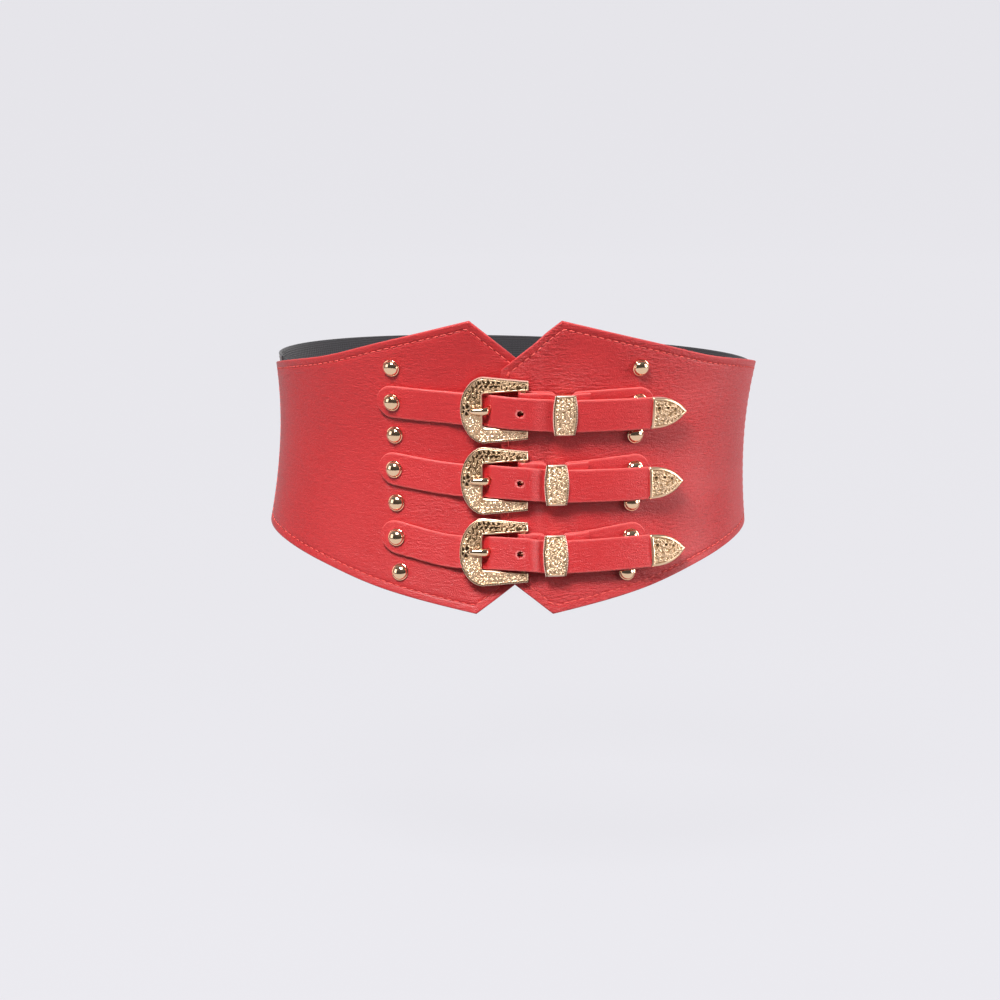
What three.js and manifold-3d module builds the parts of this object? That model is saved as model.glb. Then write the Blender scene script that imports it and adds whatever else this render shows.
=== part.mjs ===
// A corset belt: two pointed leather front panels that lap at the centre, three buckled
// straps across them, a column of dome rivets on each side, and a wide elastic round the back.
//
// Millimetres, +Z up. The front faces -Y and +X is to the right of somebody looking at it.
// The origin is the middle of the waist that the belt goes round, at its narrowest height.
//
// Every piece but the rivets is laid out flat first, as on a cutting table: x is the distance
// along the waist from the centre front, y is the height, z is the lift off the panels' face.
// It is then wrapped round the waist.
import * as THREE from "three";
import { mergeVertices } from "three/addons/utils/BufferGeometryUtils.js";
import Module from "manifold-3d";

const wasm = await Module();
wasm.setup();

// The waist, measured on the panels' outer face
const WAIST_WIDTH = 258.6;
const WAIST_DEPTH = 184;
const FLARE_ABOVE = 13; // how far the belt leans out above its narrowest height...
const FLARE_BELOW = 9.6; // ...and below it...
const FLARE_HEIGHT = 78; // ...at this distance from it
const SIDE_LEAN = 4; // and how far its two sides lean over to the right there
const TURN = 1.2; // the closure sits this far to the right of the middle
const CLEARANCE = 0.35; // air between pieces that touch
const REST_GAP = 0.6; // air under a flat strap in the middle, whose edges lie on a curved panel

// The front panels
const PANEL_THICKNESS = 1.8;
const PANEL_LENGTH = 172; // centre front to rear edge, along the waist
const PANEL_LAP = 7.4; // how far each front edge passes the centre
const PANEL_CORNER = 2; // rounding of the rear corners
const PEAK_SETBACK = 23; // the upper points' distance from the centre front
const PEAK_HEIGHT = 76.5; // and above the waist line
const TIP_SETBACK = 19.5; // the lower points' distance from the centre front
const TIP_DROP = 80; // and below the waist line
const UPPER_NOTCH = 19.6; // depth of the V between the upper points
const LOWER_NOTCH = 15.3;
const LAP_RAMP = 8; // length over which the right panel climbs onto the left one

// The upper and lower edge from the points back to the rear edge, as shares:
// along is of the way from the points to the rear edge, top of PEAK_HEIGHT, bottom of TIP_DROP.
const PANEL_EDGE = [
  { along: 0, top: 1, bottom: 1 },
  { along: 0.32, top: 0.828, bottom: 0.867 },
  { along: 0.58, top: 0.692, bottom: 0.731 },
  { along: 0.8, top: 0.618, bottom: 0.635 },
  { along: 1, top: 0.554, bottom: 0.572 },
];

// The elastic back
const ELASTIC_THICKNESS = 1.2;
const ELASTIC_LAP = 15; // sewn behind the panels' rear edges over this length
const ELASTIC_RISE = 5; // it stands this far above the left panel's rear corner
const ELASTIC_INSET = 1; // and starts this far inside the other three corners

// Straps, buckle tabs and buckles
const STRAP_WIDTH = 17.6;
const STRAP_THICKNESS = 1.6;
const TAB_THICKNESS = 1.2;
const TAB_RETURN = 38.5; // the tab's folded layer ends here, measured from the centre front
const TAB_RISE = 1.1; // how much higher than the buckle's middle the tab's fold lies on the bar
const TAB_OFFSET = 1.6; // how much higher than the strap the tab lies inside the keeper
const TAB_DROP = 0.9; // how far the tab's round end hangs below its rivet's middle
const SLOT_ROOM = 0.9; // room beside the prong in the tab's slot and the strap's hole
const HOLE_RADIUS = 1.5;
const HOLE_SPACING = 15;

const BUCKLE_CENTRE = -10.7; // from the centre front
const BUCKLE_LENGTH = 34.4;
const BUCKLE_THICKNESS = 3.2;
const RAIL_WIDTH = 11.2; // the curved rail that the prong rests on
const ARM_WIDTH = 8.5; // an arm where it leaves the rail
const ARM_END_WIDTH = 4.8;
const ARM_SPREAD = 1.5; // how much further apart the arms are at the bar than at the rail
const WINDOW_GAP = 0.6; // air between the strap's edge and an arm
const WINDOW_CORNER = 1;
const BAR_RADIUS = 1.2;
const BAR_INSET = 2.4; // bar to the arms' ends
const RIM_WIDTH = 0.9; // raised rim round the buckle, keeper and strap tip
const RIM_HEIGHT = 0.45;
const ROW_GAP = 0.8; // between the frames of two rows, before their sag
const PRONG_RADIUS = 1.2;
const PRONG_LOOP_THICKNESS = 1;
const PRONG_REST = 6.2; // how much of the rail's width the prong's tip covers
const PRONG_EXIT = 4.2; // rail to the hole that the prong comes out of
const PRONG_SINK = 0.1; // how much more air there is under the prong than between other pieces

const KEEPER_WIDTH = 12.6;
const KEEPER_END_WIDTH = 10.4;
const KEEPER_PLATE_THICKNESS = 1.5;
const KEEPER_WALL = 0.9;
const KEEPER_LOOP_WIDTH = 6;
const KEEPER_CROWN = 0.6; // how much the plate's ends bend back
const KEEPER_REACH = 21.2; // bar to the upper keeper

const TIP_START = 71.2; // from the centre front
const TIP_LENGTH = 20.4;
const TIP_BULGE = 0.18; // how much fuller than a straight point its sides are
const TIP_END = 0.45; // thickness at its point, as a share
const TIP_WIDTH = 16.9;
const TIP_WALL = 0.8;
const TIP_POCKET = 8;
const TIP_SHOULDER = 1.2; // the strap narrows this far before the tip

// Dome rivets
const STUD_COUNT = 7; // in a column; every second one holds a strap or tab
const STUD_SETBACK = 65.5; // top of the column from the centre front
const STUD_TAPER = 5.8; // the column bends this far inwards at its foot
const STUD_TOP = 49.9; // height of the highest rivet
const STUD_RADIUS = 4.6;
const STUD_HEIGHT = 3.2;
const POST_RADIUS = 1.3;
const BACK_CAP_RADIUS = 3;
const BACK_CAP_THICKNESS = 0.6;
const ROUND_SIDES = 10;

// The three rows, upper first. Sags are shares of STRAP_WIDTH below the row's rivets, and
// reach is the keeper's distance from the bar as a share of KEEPER_REACH.
const ROWS = [
  { name: "upper", buckleSag: 0.1, keeperSag: 0.31, tipSag: 0.3, reach: 1 },
  { name: "middle", buckleSag: 0.23, keeperSag: 0.41, tipSag: 0.43, reach: 0.81 },
  { name: "lower", buckleSag: 0.34, keeperSag: 0.5, tipSag: 0.45, reach: 0.77 },
];

// The prong from its loop to its point. Along is in prong radii from the bar, the hole, the
// rail's inner edge or its own point, climb is a share of the way up onto the rail, and deep
// and wide are shares of its full height and width.
const PRONG_LINE = [
  { from: "bar", along: -2, climb: -0.05, deep: 0.5, wide: 1 },
  { from: "bar", along: -5, climb: 0, deep: 1, wide: 1 },
  { from: "hole", along: 2, climb: 0, deep: 1, wide: 1 },
  { from: "hole", along: 0.5, climb: 0.26, deep: 1, wide: 1 },
  { from: "hole", along: -1, climb: 0.74, deep: 1, wide: 1 },
  { from: "rail", along: 0.3, climb: 1, deep: 1, wide: 1 },
  { from: "point", along: 1.7, climb: 1, deep: 1, wide: 1 },
  { from: "point", along: 0.5, climb: 0.98, deep: 0.75, wide: 0.75 },
  { from: "point", along: 0, climb: 0.96, deep: 0.3, wide: 0.3 },
];

// Mesh steps
const PANEL_ROWS = 8;
const PANEL_STEP = 10;
const ELASTIC_ROWS = 8;
const ELASTIC_STEP = 17;
const STRAP_STEP = 8;
const TAB_STEP = 11;
const CURVE_STEP = 5.4;
const BEND_STEP = 3.4;
const PRONG_SIDES = 8;
const PUNCH_SIDES = 8;
const PRONG_LOOP_START = 150; // degrees round the bar, from its front
const PRONG_SLOT_START = 175;
const TIP_RINGS = [0, 0.2, 0.4, 0.6, 0.78, 0.92, 0.985]; // shares of the way to its point

const COLOURS = {
  leather: { color: 0xc43a3d, roughness: 0.45, metalness: 0 },
  elastic: { color: 0x1d1b1e, roughness: 0.85, metalness: 0 },
  gold: { color: 0xd9b27c, roughness: 0.28, metalness: 1 },
};

// Sizes that follow from those above
const STRAP_HALF = STRAP_WIDTH / 2;
const WINDOW_HALF = STRAP_HALF + WINDOW_GAP;
const BUCKLE_HALF = WINDOW_HALF + ARM_WIDTH;
const ARM_END_HALF = WINDOW_HALF + ARM_SPREAD + ARM_END_WIDTH;
const STUD_PITCH = BUCKLE_HALF + ROW_GAP / 2;
const RAIL_OUTER = BUCKLE_CENTRE - BUCKLE_LENGTH / 2;
const RAIL_INNER = RAIL_OUTER + RAIL_WIDTH;
const ARM_END = BUCKLE_CENTRE + BUCKLE_LENGTH / 2;
const BAR = ARM_END - BAR_INSET;
const PRONG_HOLE = RAIL_INNER + PRONG_EXIT;
const LAP_LIFT = PANEL_THICKNESS + CLEARANCE;
const LAP_END = PANEL_LAP + 1;
const BAR_LIFT = LAP_LIFT + REST_GAP + TAB_THICKNESS + CLEARANCE + BAR_RADIUS;
const FOLD_RADIUS = BAR_RADIUS + CLEARANCE + TAB_THICKNESS / 2;
const FRAME_BOTTOM = BAR_LIFT - BUCKLE_THICKNESS / 2;
const FRAME_TOP = BAR_LIFT + BUCKLE_THICKNESS / 2;
const STRAP_REST = REST_GAP + STRAP_THICKNESS / 2;
const STRAP_CLEAR = CLEARANCE + STRAP_THICKNESS / 2;
const TAB_REST = REST_GAP + TAB_THICKNESS / 2;
const TAB_IN_KEEPER = TAB_REST + KEEPER_WALL + CLEARANCE;
const RETURN_IN_KEEPER = TAB_IN_KEEPER + TAB_THICKNESS + CLEARANCE;
const STRAP_IN_KEEPER = RETURN_IN_KEEPER + (TAB_THICKNESS + STRAP_THICKNESS) / 2 + CLEARANCE;
const STRAP_OVER_STUD = STRAP_REST + TAB_THICKNESS + STUD_HEIGHT + 2 * CLEARANCE;
const SHAFT_LIFT = LAP_LIFT + CLEARANCE + PRONG_SINK + PRONG_RADIUS;
const RAIL_LIFT = FRAME_TOP + CLEARANCE + PRONG_RADIUS;
const STRAP_CLIMB = RAIL_INNER + WINDOW_CORNER / 2;
const TIP_HALF_THICKNESS = STRAP_THICKNESS / 2 + CLEARANCE + TIP_WALL;

const clamp01 = (t) => Math.min(Math.max(t, 0), 1);
const smooth = (t) => clamp01(t) ** 2 * (3 - 2 * clamp01(t));
const mix = (a, b, t) => a + (b - a) * t;

// A smooth curve through [x, y] rows that never overshoots them, and runs on straight
// beyond its ends.
function through(rows) {
  const last = rows.length - 1;
  const rise = rows.slice(1).map(([x, y], i) => (y - rows[i][1]) / (x - rows[i][0]));
  const slope = rows.map((row, i) => {
    const before = rise[Math.max(i - 1, 0)];
    const after = rise[Math.min(i, last - 1)];
    return before * after <= 0 ? 0 : (2 * before * after) / (before + after);
  });
  return (x) => {
    if (x <= rows[0][0]) return rows[0][1] + slope[0] * (x - rows[0][0]);
    if (x >= rows[last][0]) return rows[last][1] + slope[last] * (x - rows[last][0]);
    const i = rows.findIndex((row) => row[0] > x) - 1;
    const step = rows[i + 1][0] - rows[i][0];
    const t = (x - rows[i][0]) / step;
    const curve = slope[i] * t * (1 - t) ** 2 - slope[i + 1] * t ** 2 * (1 - t);
    return mix(rows[i][1], rows[i + 1][1], smooth(t)) + step * curve;
  };
}

// Evenly spaced values from a to b, both included, no further apart than step
function spaced(a, b, step) {
  const count = Math.max(1, Math.ceil(Math.abs(b - a) / step - 1e-6));
  return Array.from({ length: count + 1 }, (_, i) => mix(a, b, i / count));
}

// The waist as a curve that starts at the centre front and runs to the right
const waist = new THREE.EllipseCurve(
  0, 0, WAIST_WIDTH / 2, WAIST_DEPTH / 2, -Math.PI / 2, (3 * Math.PI) / 2,
);
waist.arcLengthDivisions = 2000;
const GIRTH = waist.getLength();

// A point of the panels' outer face
function onFace(along, height) {
  const share = (along + TURN) / GIRTH;
  const p = waist.getPointAt(share - Math.floor(share));
  const out = new THREE.Vector3(
    p.x / (WAIST_WIDTH / 2) ** 2, p.y / (WAIST_DEPTH / 2) ** 2, 0,
  ).normalize();
  const rise = height / FLARE_HEIGHT;
  const lean = SIDE_LEAN * rise * (p.x / (WAIST_WIDTH / 2)) ** 2;
  return new THREE.Vector3(p.x + lean, p.y, height)
    .addScaledVector(out, (height > 0 ? FLARE_ABOVE : FLARE_BELOW) * rise ** 2);
}

// Where a point laid out flat lies once the belt is round the waist, with its directions:
// x along the belt, y up it, z out of it.
function frameOnWaist(along, height, lift) {
  const near = 0.5;
  const side = onFace(along + near, height).sub(onFace(along - near, height)).normalize();
  const climb = onFace(along, height + near).sub(onFace(along, height - near));
  const normal = new THREE.Vector3().crossVectors(side, climb).normalize();
  const up = new THREE.Vector3().crossVectors(normal, side);
  const place = onFace(along, height).addScaledVector(normal, lift);
  return new THREE.Matrix4().makeBasis(side, up, normal).setPosition(place);
}

// Wraps a flat geometry round the waist. A piece with a centre line, which gives its height
// at each distance, bends along that line only and stays straight across it.
function wrapped(geometry, centreLine = (along, height) => height) {
  const position = geometry.attributes.position;
  const point = new THREE.Vector3();
  for (let i = 0; i < position.count; i++) {
    point.fromBufferAttribute(position, i);
    const height = centreLine(point.x, point.y);
    const frame = frameOnWaist(point.x, height, point.z);
    point.set(0, point.y - height, 0).applyMatrix4(frame);
    position.setXYZ(i, point.x, point.y, point.z);
  }
  return geometry;
}

// Triangles of a flat ring of points, wound the way that the ring runs
function capOf(ring) {
  const flat = ring.map((p) => new THREE.Vector2(p.y, p.z));
  const turned = THREE.ShapeUtils.area(flat) < 0;
  return THREE.ShapeUtils.triangulateShape(flat, []).map(([a, b, c]) => {
    const cross = (flat[b].x - flat[a].x) * (flat[c].y - flat[a].y)
      - (flat[c].x - flat[a].x) * (flat[b].y - flat[a].y);
    return cross < 0 === turned ? [a, b, c] : [a, c, b];
  });
}

// Triangles of a ring whose second half runs back beside its first half, as a wall's does
function ladderOf(ring) {
  const n = ring.length;
  return Array.from({ length: n / 2 - 1 }, (_, i) => [
    [i, i + 1, n - 2 - i],
    [i, n - 2 - i, n - 1 - i],
  ]).flat();
}

// A closed solid skinned over rings of points, with its ends closed.
function skinned(rings, close) {
  const n = rings[0].length;
  const last = rings.length - 1;
  const triangles = [];
  for (let c = 0; c < last; c++) {
    for (let r = 0; r < n; r++) {
      const next = (r + 1) % n;
      triangles.push([c * n + r, c * n + n + r, c * n + n + next]);
      triangles.push([c * n + r, c * n + n + next, c * n + next]);
    }
  }
  for (const t of close(rings[0])) triangles.push(t);
  for (const t of close(rings[last])) triangles.push([...t].reverse().map((i) => last * n + i));
  const points = rings.flat();
  let volume = 0;
  for (const [a, b, c] of triangles) {
    volume += points[a].dot(new THREE.Vector3().crossVectors(points[b], points[c]));
  }
  const index = volume < 0 ? triangles.map((t) => [...t].reverse()) : triangles;
  return new THREE.BufferGeometry().setFromPoints(points).setIndex(index.flat());
}

// A strip of leather that follows a path of { along, lift, half }, half being half its width
// there, with its middle on the centre line. Its thickness lies across the path.
function strip(path, thickness, centreLine) {
  const rings = path.map((p, i) => {
    const a = path[Math.max(i - 1, 0)];
    const b = path[Math.min(i + 1, path.length - 1)];
    const run = new THREE.Vector2(b.along - a.along, b.lift - a.lift).normalize();
    const corner = (half, side) => new THREE.Vector3(
      p.along - (run.y * side * thickness) / 2,
      centreLine(p.along) + half,
      p.lift + (run.x * side * thickness) / 2,
    );
    return [corner(-p.half, 1), corner(p.half, 1), corner(p.half, -1), corner(-p.half, -1)];
  });
  return wrapped(skinned(rings, ladderOf), centreLine);
}

// Distances from a rounded strap end, and half the strap's width there
const ROUND_END = [0.02, 0.16, 0.4, 0.7, 1].map((share) => ({
  inset: share * STRAP_HALF,
  half: STRAP_HALF * Math.sqrt(1 - (1 - share) ** 2),
}));

function solidOf(geometry) {
  const bare = geometry.clone();
  bare.deleteAttribute("normal");
  bare.deleteAttribute("uv");
  const merged = mergeVertices(bare, 1e-4);
  return new wasm.Manifold(new wasm.Mesh({
    numProp: 3,
    vertProperties: merged.attributes.position.array,
    triVerts: Uint32Array.from(merged.index.array),
  }));
}

function geometryOf(solid) {
  const mesh = solid.getMesh();
  return new THREE.BufferGeometry()
    .setAttribute("position", new THREE.BufferAttribute(mesh.vertProperties, 3))
    .setIndex(new THREE.BufferAttribute(mesh.triVerts, 1));
}

const cut = (geometry, tools) =>
  geometryOf(tools.reduce((solid, tool) => solid.subtract(solidOf(tool)), solidOf(geometry)));
const joined = (geometries) =>
  geometryOf(geometries.map(solidOf).reduce((whole, piece) => whole.add(piece)));

// A round punch through everything at one place on the belt
function punch(along, height, radius) {
  const reach = 2 * (BAR_LIFT + PANEL_THICKNESS);
  return new THREE.CylinderGeometry(radius, radius, 2 * reach, PUNCH_SIDES)
    .rotateX(Math.PI / 2)
    .applyMatrix4(frameOnWaist(along, height, 0));
}

// Rivets: their places, counted from the top of a column
const studHeight = (i) => STUD_TOP - i * STUD_PITCH;
const studAlong = (i) => STUD_SETBACK - STUD_TAPER * (i / (STUD_COUNT - 1)) ** 3;
const holdsRow = (i) => i % 2 === 1;
const rowStud = (row) => 2 * ROWS.indexOf(row) + 1;

function stud(side, i) {
  const held = side < 0 ? STRAP_THICKNESS : TAB_THICKNESS;
  const foot = CLEARANCE + (holdsRow(i) ? REST_GAP + held : 0);
  const back = -PANEL_THICKNESS - CLEARANCE - foot;
  const profile = [
    ...[[0, 1], [0.55, 0.86], [0.9, 0.45], [1, 0]].map(([out, up]) => [
      out * STUD_RADIUS,
      up * STUD_HEIGHT,
    ]),
    [POST_RADIUS, 0],
    [POST_RADIUS, back],
    [BACK_CAP_RADIUS, back],
    [BACK_CAP_RADIUS, back - BACK_CAP_THICKNESS],
    [0, back - BACK_CAP_THICKNESS],
  ].reverse();
  const geometry = new THREE.LatheGeometry(
    profile.map(([r, h]) => new THREE.Vector2(r, h)),
    ROUND_SIDES,
  ).rotateX(Math.PI / 2);
  const mesh = named(`stud_${side < 0 ? "left" : "right"}_${i + 1}`, geometry, "gold");
  const place = frameOnWaist(side * studAlong(i), studHeight(i), foot);
  mesh.position.setFromMatrixPosition(place);
  mesh.quaternion.setFromRotationMatrix(place);
  return mesh;
}

// Panels
const faceLift = (along) => LAP_LIFT * (1 - smooth((along - LAP_END) / LAP_RAMP));
const pointOf = {
  top: { setback: PEAK_SETBACK, reach: PEAK_HEIGHT, notch: UPPER_NOTCH },
  bottom: { setback: TIP_SETBACK, reach: TIP_DROP, notch: LOWER_NOTCH },
};

// How far a panel reaches above (top) or below (bottom) the waist line at a distance from
// the centre front: a straight diagonal to the point, then a curve to the rear edge.
function reachOf(edge) {
  const { setback, reach, notch } = pointOf[edge];
  const curve = through(PANEL_EDGE.map((row) => [
    mix(setback, PANEL_LENGTH, row.along), reach * row[edge],
  ]));
  return (along) => (along < setback ? reach - notch * (1 - along / setback) : curve(along));
}
const topReach = reachOf("top");
const bottomReach = reachOf("bottom");

function panel(side) {
  const rear = PANEL_LENGTH - PANEL_CORNER;
  const points = [TIP_SETBACK, PEAK_SETBACK].sort((a, b) => a - b);
  const columns = [
    ...spaced(-PANEL_LAP, LAP_END, PANEL_STEP),
    ...spaced(LAP_END, points[0], LAP_RAMP / 2).slice(1),
    ...spaced(points[1], rear, PANEL_STEP),
    PANEL_LENGTH,
  ];
  const rings = columns.map((along) => {
    const rounding = along === PANEL_LENGTH ? PANEL_CORNER : 0;
    const low = rounding - bottomReach(along);
    const high = topReach(along) - rounding;
    const outside = side > 0 ? faceLift(along) : 0;
    const heights = spaced(0, 1, 1 / PANEL_ROWS).map((share) => mix(low, high, share));
    const wall = (lift) => heights.map((h) => new THREE.Vector3(side * along, h, lift));
    return [...wall(outside), ...wall(outside - PANEL_THICKNESS).reverse()];
  });
  const holes = Array.from({ length: STUD_COUNT }, (_, i) =>
    punch(side * studAlong(i), studHeight(i), POST_RADIUS + CLEARANCE));
  return cut(wrapped(skinned(rings, ladderOf)), holes);
}

function elastic() {
  const start = PANEL_LENGTH - ELASTIC_LAP;
  const low = ELASTIC_INSET - bottomReach(PANEL_LENGTH);
  const corner = topReach(PANEL_LENGTH);
  const outside = -PANEL_THICKNESS - CLEARANCE;
  const columns = [
    start,
    ...spaced(PANEL_LENGTH, GIRTH - PANEL_LENGTH, ELASTIC_STEP),
    GIRTH - start,
  ];
  const rings = columns.map((along) => {
    const share = smooth((along - PANEL_LENGTH) / (GIRTH - 2 * PANEL_LENGTH));
    const high = corner + mix(-ELASTIC_INSET, ELASTIC_RISE, share);
    const heights = spaced(0, 1, 1 / ELASTIC_ROWS).map((part) => mix(low, high, part));
    const wall = (lift) => heights.map((h) => new THREE.Vector3(along, h, lift));
    return [...wall(outside), ...wall(outside - ELASTIC_THICKNESS).reverse()];
  });
  return wrapped(skinned(rings, ladderOf));
}

// Where the pieces of one row lie
function layoutOf(row) {
  const anchor = studHeight(rowStud(row));
  const studPlace = studAlong(rowStud(row));
  const buckle = anchor - row.buckleSag * STRAP_WIDTH;
  const keeper = BAR + row.reach * KEEPER_REACH;
  const keeperHeight = anchor - row.keeperSag * STRAP_WIDTH;
  const tipHeight = anchor - row.tipSag * STRAP_WIDTH;
  const windowSlack = WINDOW_GAP / 2;
  const barSlack = WINDOW_GAP + ARM_SPREAD / 3;
  return {
    buckle,
    keeper,
    keeperHeight,
    studPlace,
    strapHeight: through([
      [-studPlace, anchor],
      [RAIL_OUTER, buckle - windowSlack / 2],
      [PRONG_HOLE, buckle - windowSlack],
      [BAR, buckle - barSlack],
      [keeper, keeperHeight],
      [TIP_START, tipHeight],
      [TIP_START + TIP_LENGTH, tipHeight - windowSlack],
    ]),
    strapLift: through([
      [-studPlace, STRAP_REST],
      [RAIL_OUTER - STRAP_HALF, STRAP_REST],
      [RAIL_OUTER, FRAME_BOTTOM - STRAP_CLEAR],
      [STRAP_CLIMB, FRAME_BOTTOM - STRAP_CLEAR],
      [PRONG_HOLE + PRONG_RADIUS, SHAFT_LIFT + PRONG_RADIUS + STRAP_CLEAR],
      [BAR - FOLD_RADIUS, BAR_LIFT + FOLD_RADIUS + TAB_THICKNESS / 2 + STRAP_CLEAR],
      [BAR + FOLD_RADIUS, BAR_LIFT + FOLD_RADIUS + TAB_THICKNESS / 2 + STRAP_CLEAR],
      [keeper - KEEPER_WIDTH / 2, STRAP_IN_KEEPER],
      [keeper + KEEPER_WIDTH / 2, STRAP_IN_KEEPER],
      [studPlace - STUD_RADIUS, STRAP_OVER_STUD],
      [TIP_START + TIP_LENGTH, STRAP_OVER_STUD],
    ]),
    tabHeight: through([
      [BAR, buckle + TAB_RISE],
      [keeper - KEEPER_LOOP_WIDTH / 2, keeperHeight + TAB_OFFSET],
      [keeper + KEEPER_LOOP_WIDTH / 2, keeperHeight + TAB_OFFSET],
      [studPlace, anchor - TAB_DROP],
    ]),
    tabLift: through([
      [BAR + FOLD_RADIUS, BAR_LIFT - FOLD_RADIUS],
      [LAP_END + 1, BAR_LIFT - FOLD_RADIUS],
      [keeper - KEEPER_LOOP_WIDTH / 2 - 1, TAB_IN_KEEPER],
      [keeper + KEEPER_LOOP_WIDTH / 2 + 1, TAB_IN_KEEPER],
      [studPlace - STUD_RADIUS, TAB_REST],
      [studPlace, TAB_REST],
    ]),
    returnLift: through([
      [BAR, BAR_LIFT + FOLD_RADIUS],
      [keeper - KEEPER_WIDTH / 2 - 1, RETURN_IN_KEEPER],
      [TAB_RETURN, RETURN_IN_KEEPER],
    ]),
  };
}

// The prong's path round the bar, under the strap, up through it and over the rail, with
// half its height (deep) and half its width (wide). A slot for it starts a little earlier.
function prongPath(loopStart) {
  const loopRadius = BAR_RADIUS + CLEARANCE + PRONG_LOOP_THICKNESS / 2;
  const loop = spaced(loopStart, -90, 40).map((degrees) => {
    const turn = THREE.MathUtils.degToRad(degrees);
    return {
      along: BAR + loopRadius * Math.cos(turn),
      lift: BAR_LIFT + loopRadius * Math.sin(turn),
      deep: PRONG_LOOP_THICKNESS / 2,
      wide: PRONG_RADIUS,
    };
  });
  const places = {
    bar: BAR, hole: PRONG_HOLE, rail: RAIL_INNER, point: RAIL_INNER - PRONG_REST,
  };
  const rod = PRONG_LINE.map(({ from, along, climb, deep, wide }) => ({
    along: places[from] + along * PRONG_RADIUS,
    lift: mix(SHAFT_LIFT, RAIL_LIFT, climb),
    deep: deep * PRONG_RADIUS,
    wide: wide * PRONG_RADIUS,
  }));
  return [...loop, ...rod];
}

function prong(place, room = 0) {
  const path = prongPath(room > 0 ? PRONG_SLOT_START : PRONG_LOOP_START);
  const rings = path.map((p, i) => {
    const a = path[Math.max(i - 1, 0)];
    const b = path[Math.min(i + 1, path.length - 1)];
    const run = new THREE.Vector2(b.along - a.along, b.lift - a.lift).normalize();
    return Array.from({ length: PRONG_SIDES }, (_, k) => {
      const turn = ((k + 0.5) * 2 * Math.PI) / PRONG_SIDES;
      const out = Math.sin(turn) * (p.deep + room / 2);
      return new THREE.Vector3(
        p.along - run.y * out,
        place.buckle + Math.cos(turn) * (p.wide + room),
        p.lift + run.x * out,
      );
    });
  });
  const fan = (ring) => Array.from({ length: ring.length - 2 }, (_, i) => [0, i + 1, i + 2]);
  return wrapped(skinned(rings, fan), () => place.buckle);
}

function strap(place) {
  const end = place.studPlace + STRAP_HALF;
  const finish = TIP_START + TIP_POCKET - CLEARANCE;
  const tucked = TIP_WIDTH / 2 - TIP_WALL - CLEARANCE;
  const stops = [
    ...ROUND_END.map(({ inset, half }) => [inset - end, half]),
    ...[
      ...spaced(-place.studPlace, RAIL_OUTER - STRAP_HALF, STRAP_STEP).slice(1),
      ...spaced(RAIL_OUTER - STRAP_HALF, STRAP_CLIMB, CURVE_STEP).slice(1),
      ...spaced(STRAP_CLIMB, place.keeper - KEEPER_WIDTH / 2, BEND_STEP).slice(1),
      ...spaced(place.keeper - KEEPER_WIDTH / 2, TIP_START - TIP_SHOULDER, STRAP_STEP).slice(1),
    ].map((along) => [along, STRAP_HALF]),
    ...[TIP_START - CLEARANCE, finish].map((along) => [along, tucked]),
  ];
  const path = stops.map(([along, half]) => ({ along, lift: place.strapLift(along), half }));
  const free = PRONG_HOLE + HOLE_SPACING;
  return cut(strip(path, STRAP_THICKNESS, place.strapHeight), [
    punch(-place.studPlace, place.strapHeight(-place.studPlace), POST_RADIUS + CLEARANCE),
    punch(free, place.strapHeight(free), HOLE_RADIUS),
    prong(place, SLOT_ROOM),
  ]);
}

function buckleTab(place) {
  const end = place.studPlace + STRAP_HALF;
  const lower = [
    ...ROUND_END.map(({ inset, half }) => [end - inset, half]),
    ...[
      ...spaced(place.studPlace, place.keeper, TAB_STEP),
      ...spaced(place.keeper, BAR + FOLD_RADIUS, CURVE_STEP),
    ].slice(1).map((along) => [along, STRAP_HALF]),
  ].filter(([along], i, all) => i === 0 || Math.abs(along - all[i - 1][0]) > 1e-6);
  const upper = spaced(BAR + FOLD_RADIUS, TAB_RETURN, CURVE_STEP);
  const path = [
    ...lower.map(([along, half]) => ({ along, lift: place.tabLift(along), half })),
    ...[-90, -120, -150, -180, -210, -240, -270].map((degrees) => ({
      along: BAR + FOLD_RADIUS * Math.cos(THREE.MathUtils.degToRad(degrees)),
      lift: BAR_LIFT + FOLD_RADIUS * Math.sin(THREE.MathUtils.degToRad(degrees)),
      half: STRAP_HALF,
    })),
    ...upper.map((along) => ({ along, lift: place.returnLift(along), half: STRAP_HALF })),
  ];
  return cut(strip(path, TAB_THICKNESS, place.tabHeight), [
    punch(place.studPlace, place.tabHeight(place.studPlace) + TAB_DROP, POST_RADIUS + CLEARANCE),
    prong(place, SLOT_ROOM),
  ]);
}

// A cast section from one edge (0) to the other (1): flat underneath, with a raised rim
// along both edges of a sunk field. Returns [share, lift] points.
function castSection(width, bottom, top) {
  const rim = Math.min(RIM_WIDTH / width, 0.3);
  const shoulder = top - 2 * RIM_HEIGHT;
  const field = top - RIM_HEIGHT;
  const near = [[0, bottom], [0, shoulder], [rim / 2, top], [rim, field]];
  return [...near, ...near.map(([share, lift]) => [1 - share, lift]).reverse()];
}

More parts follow.
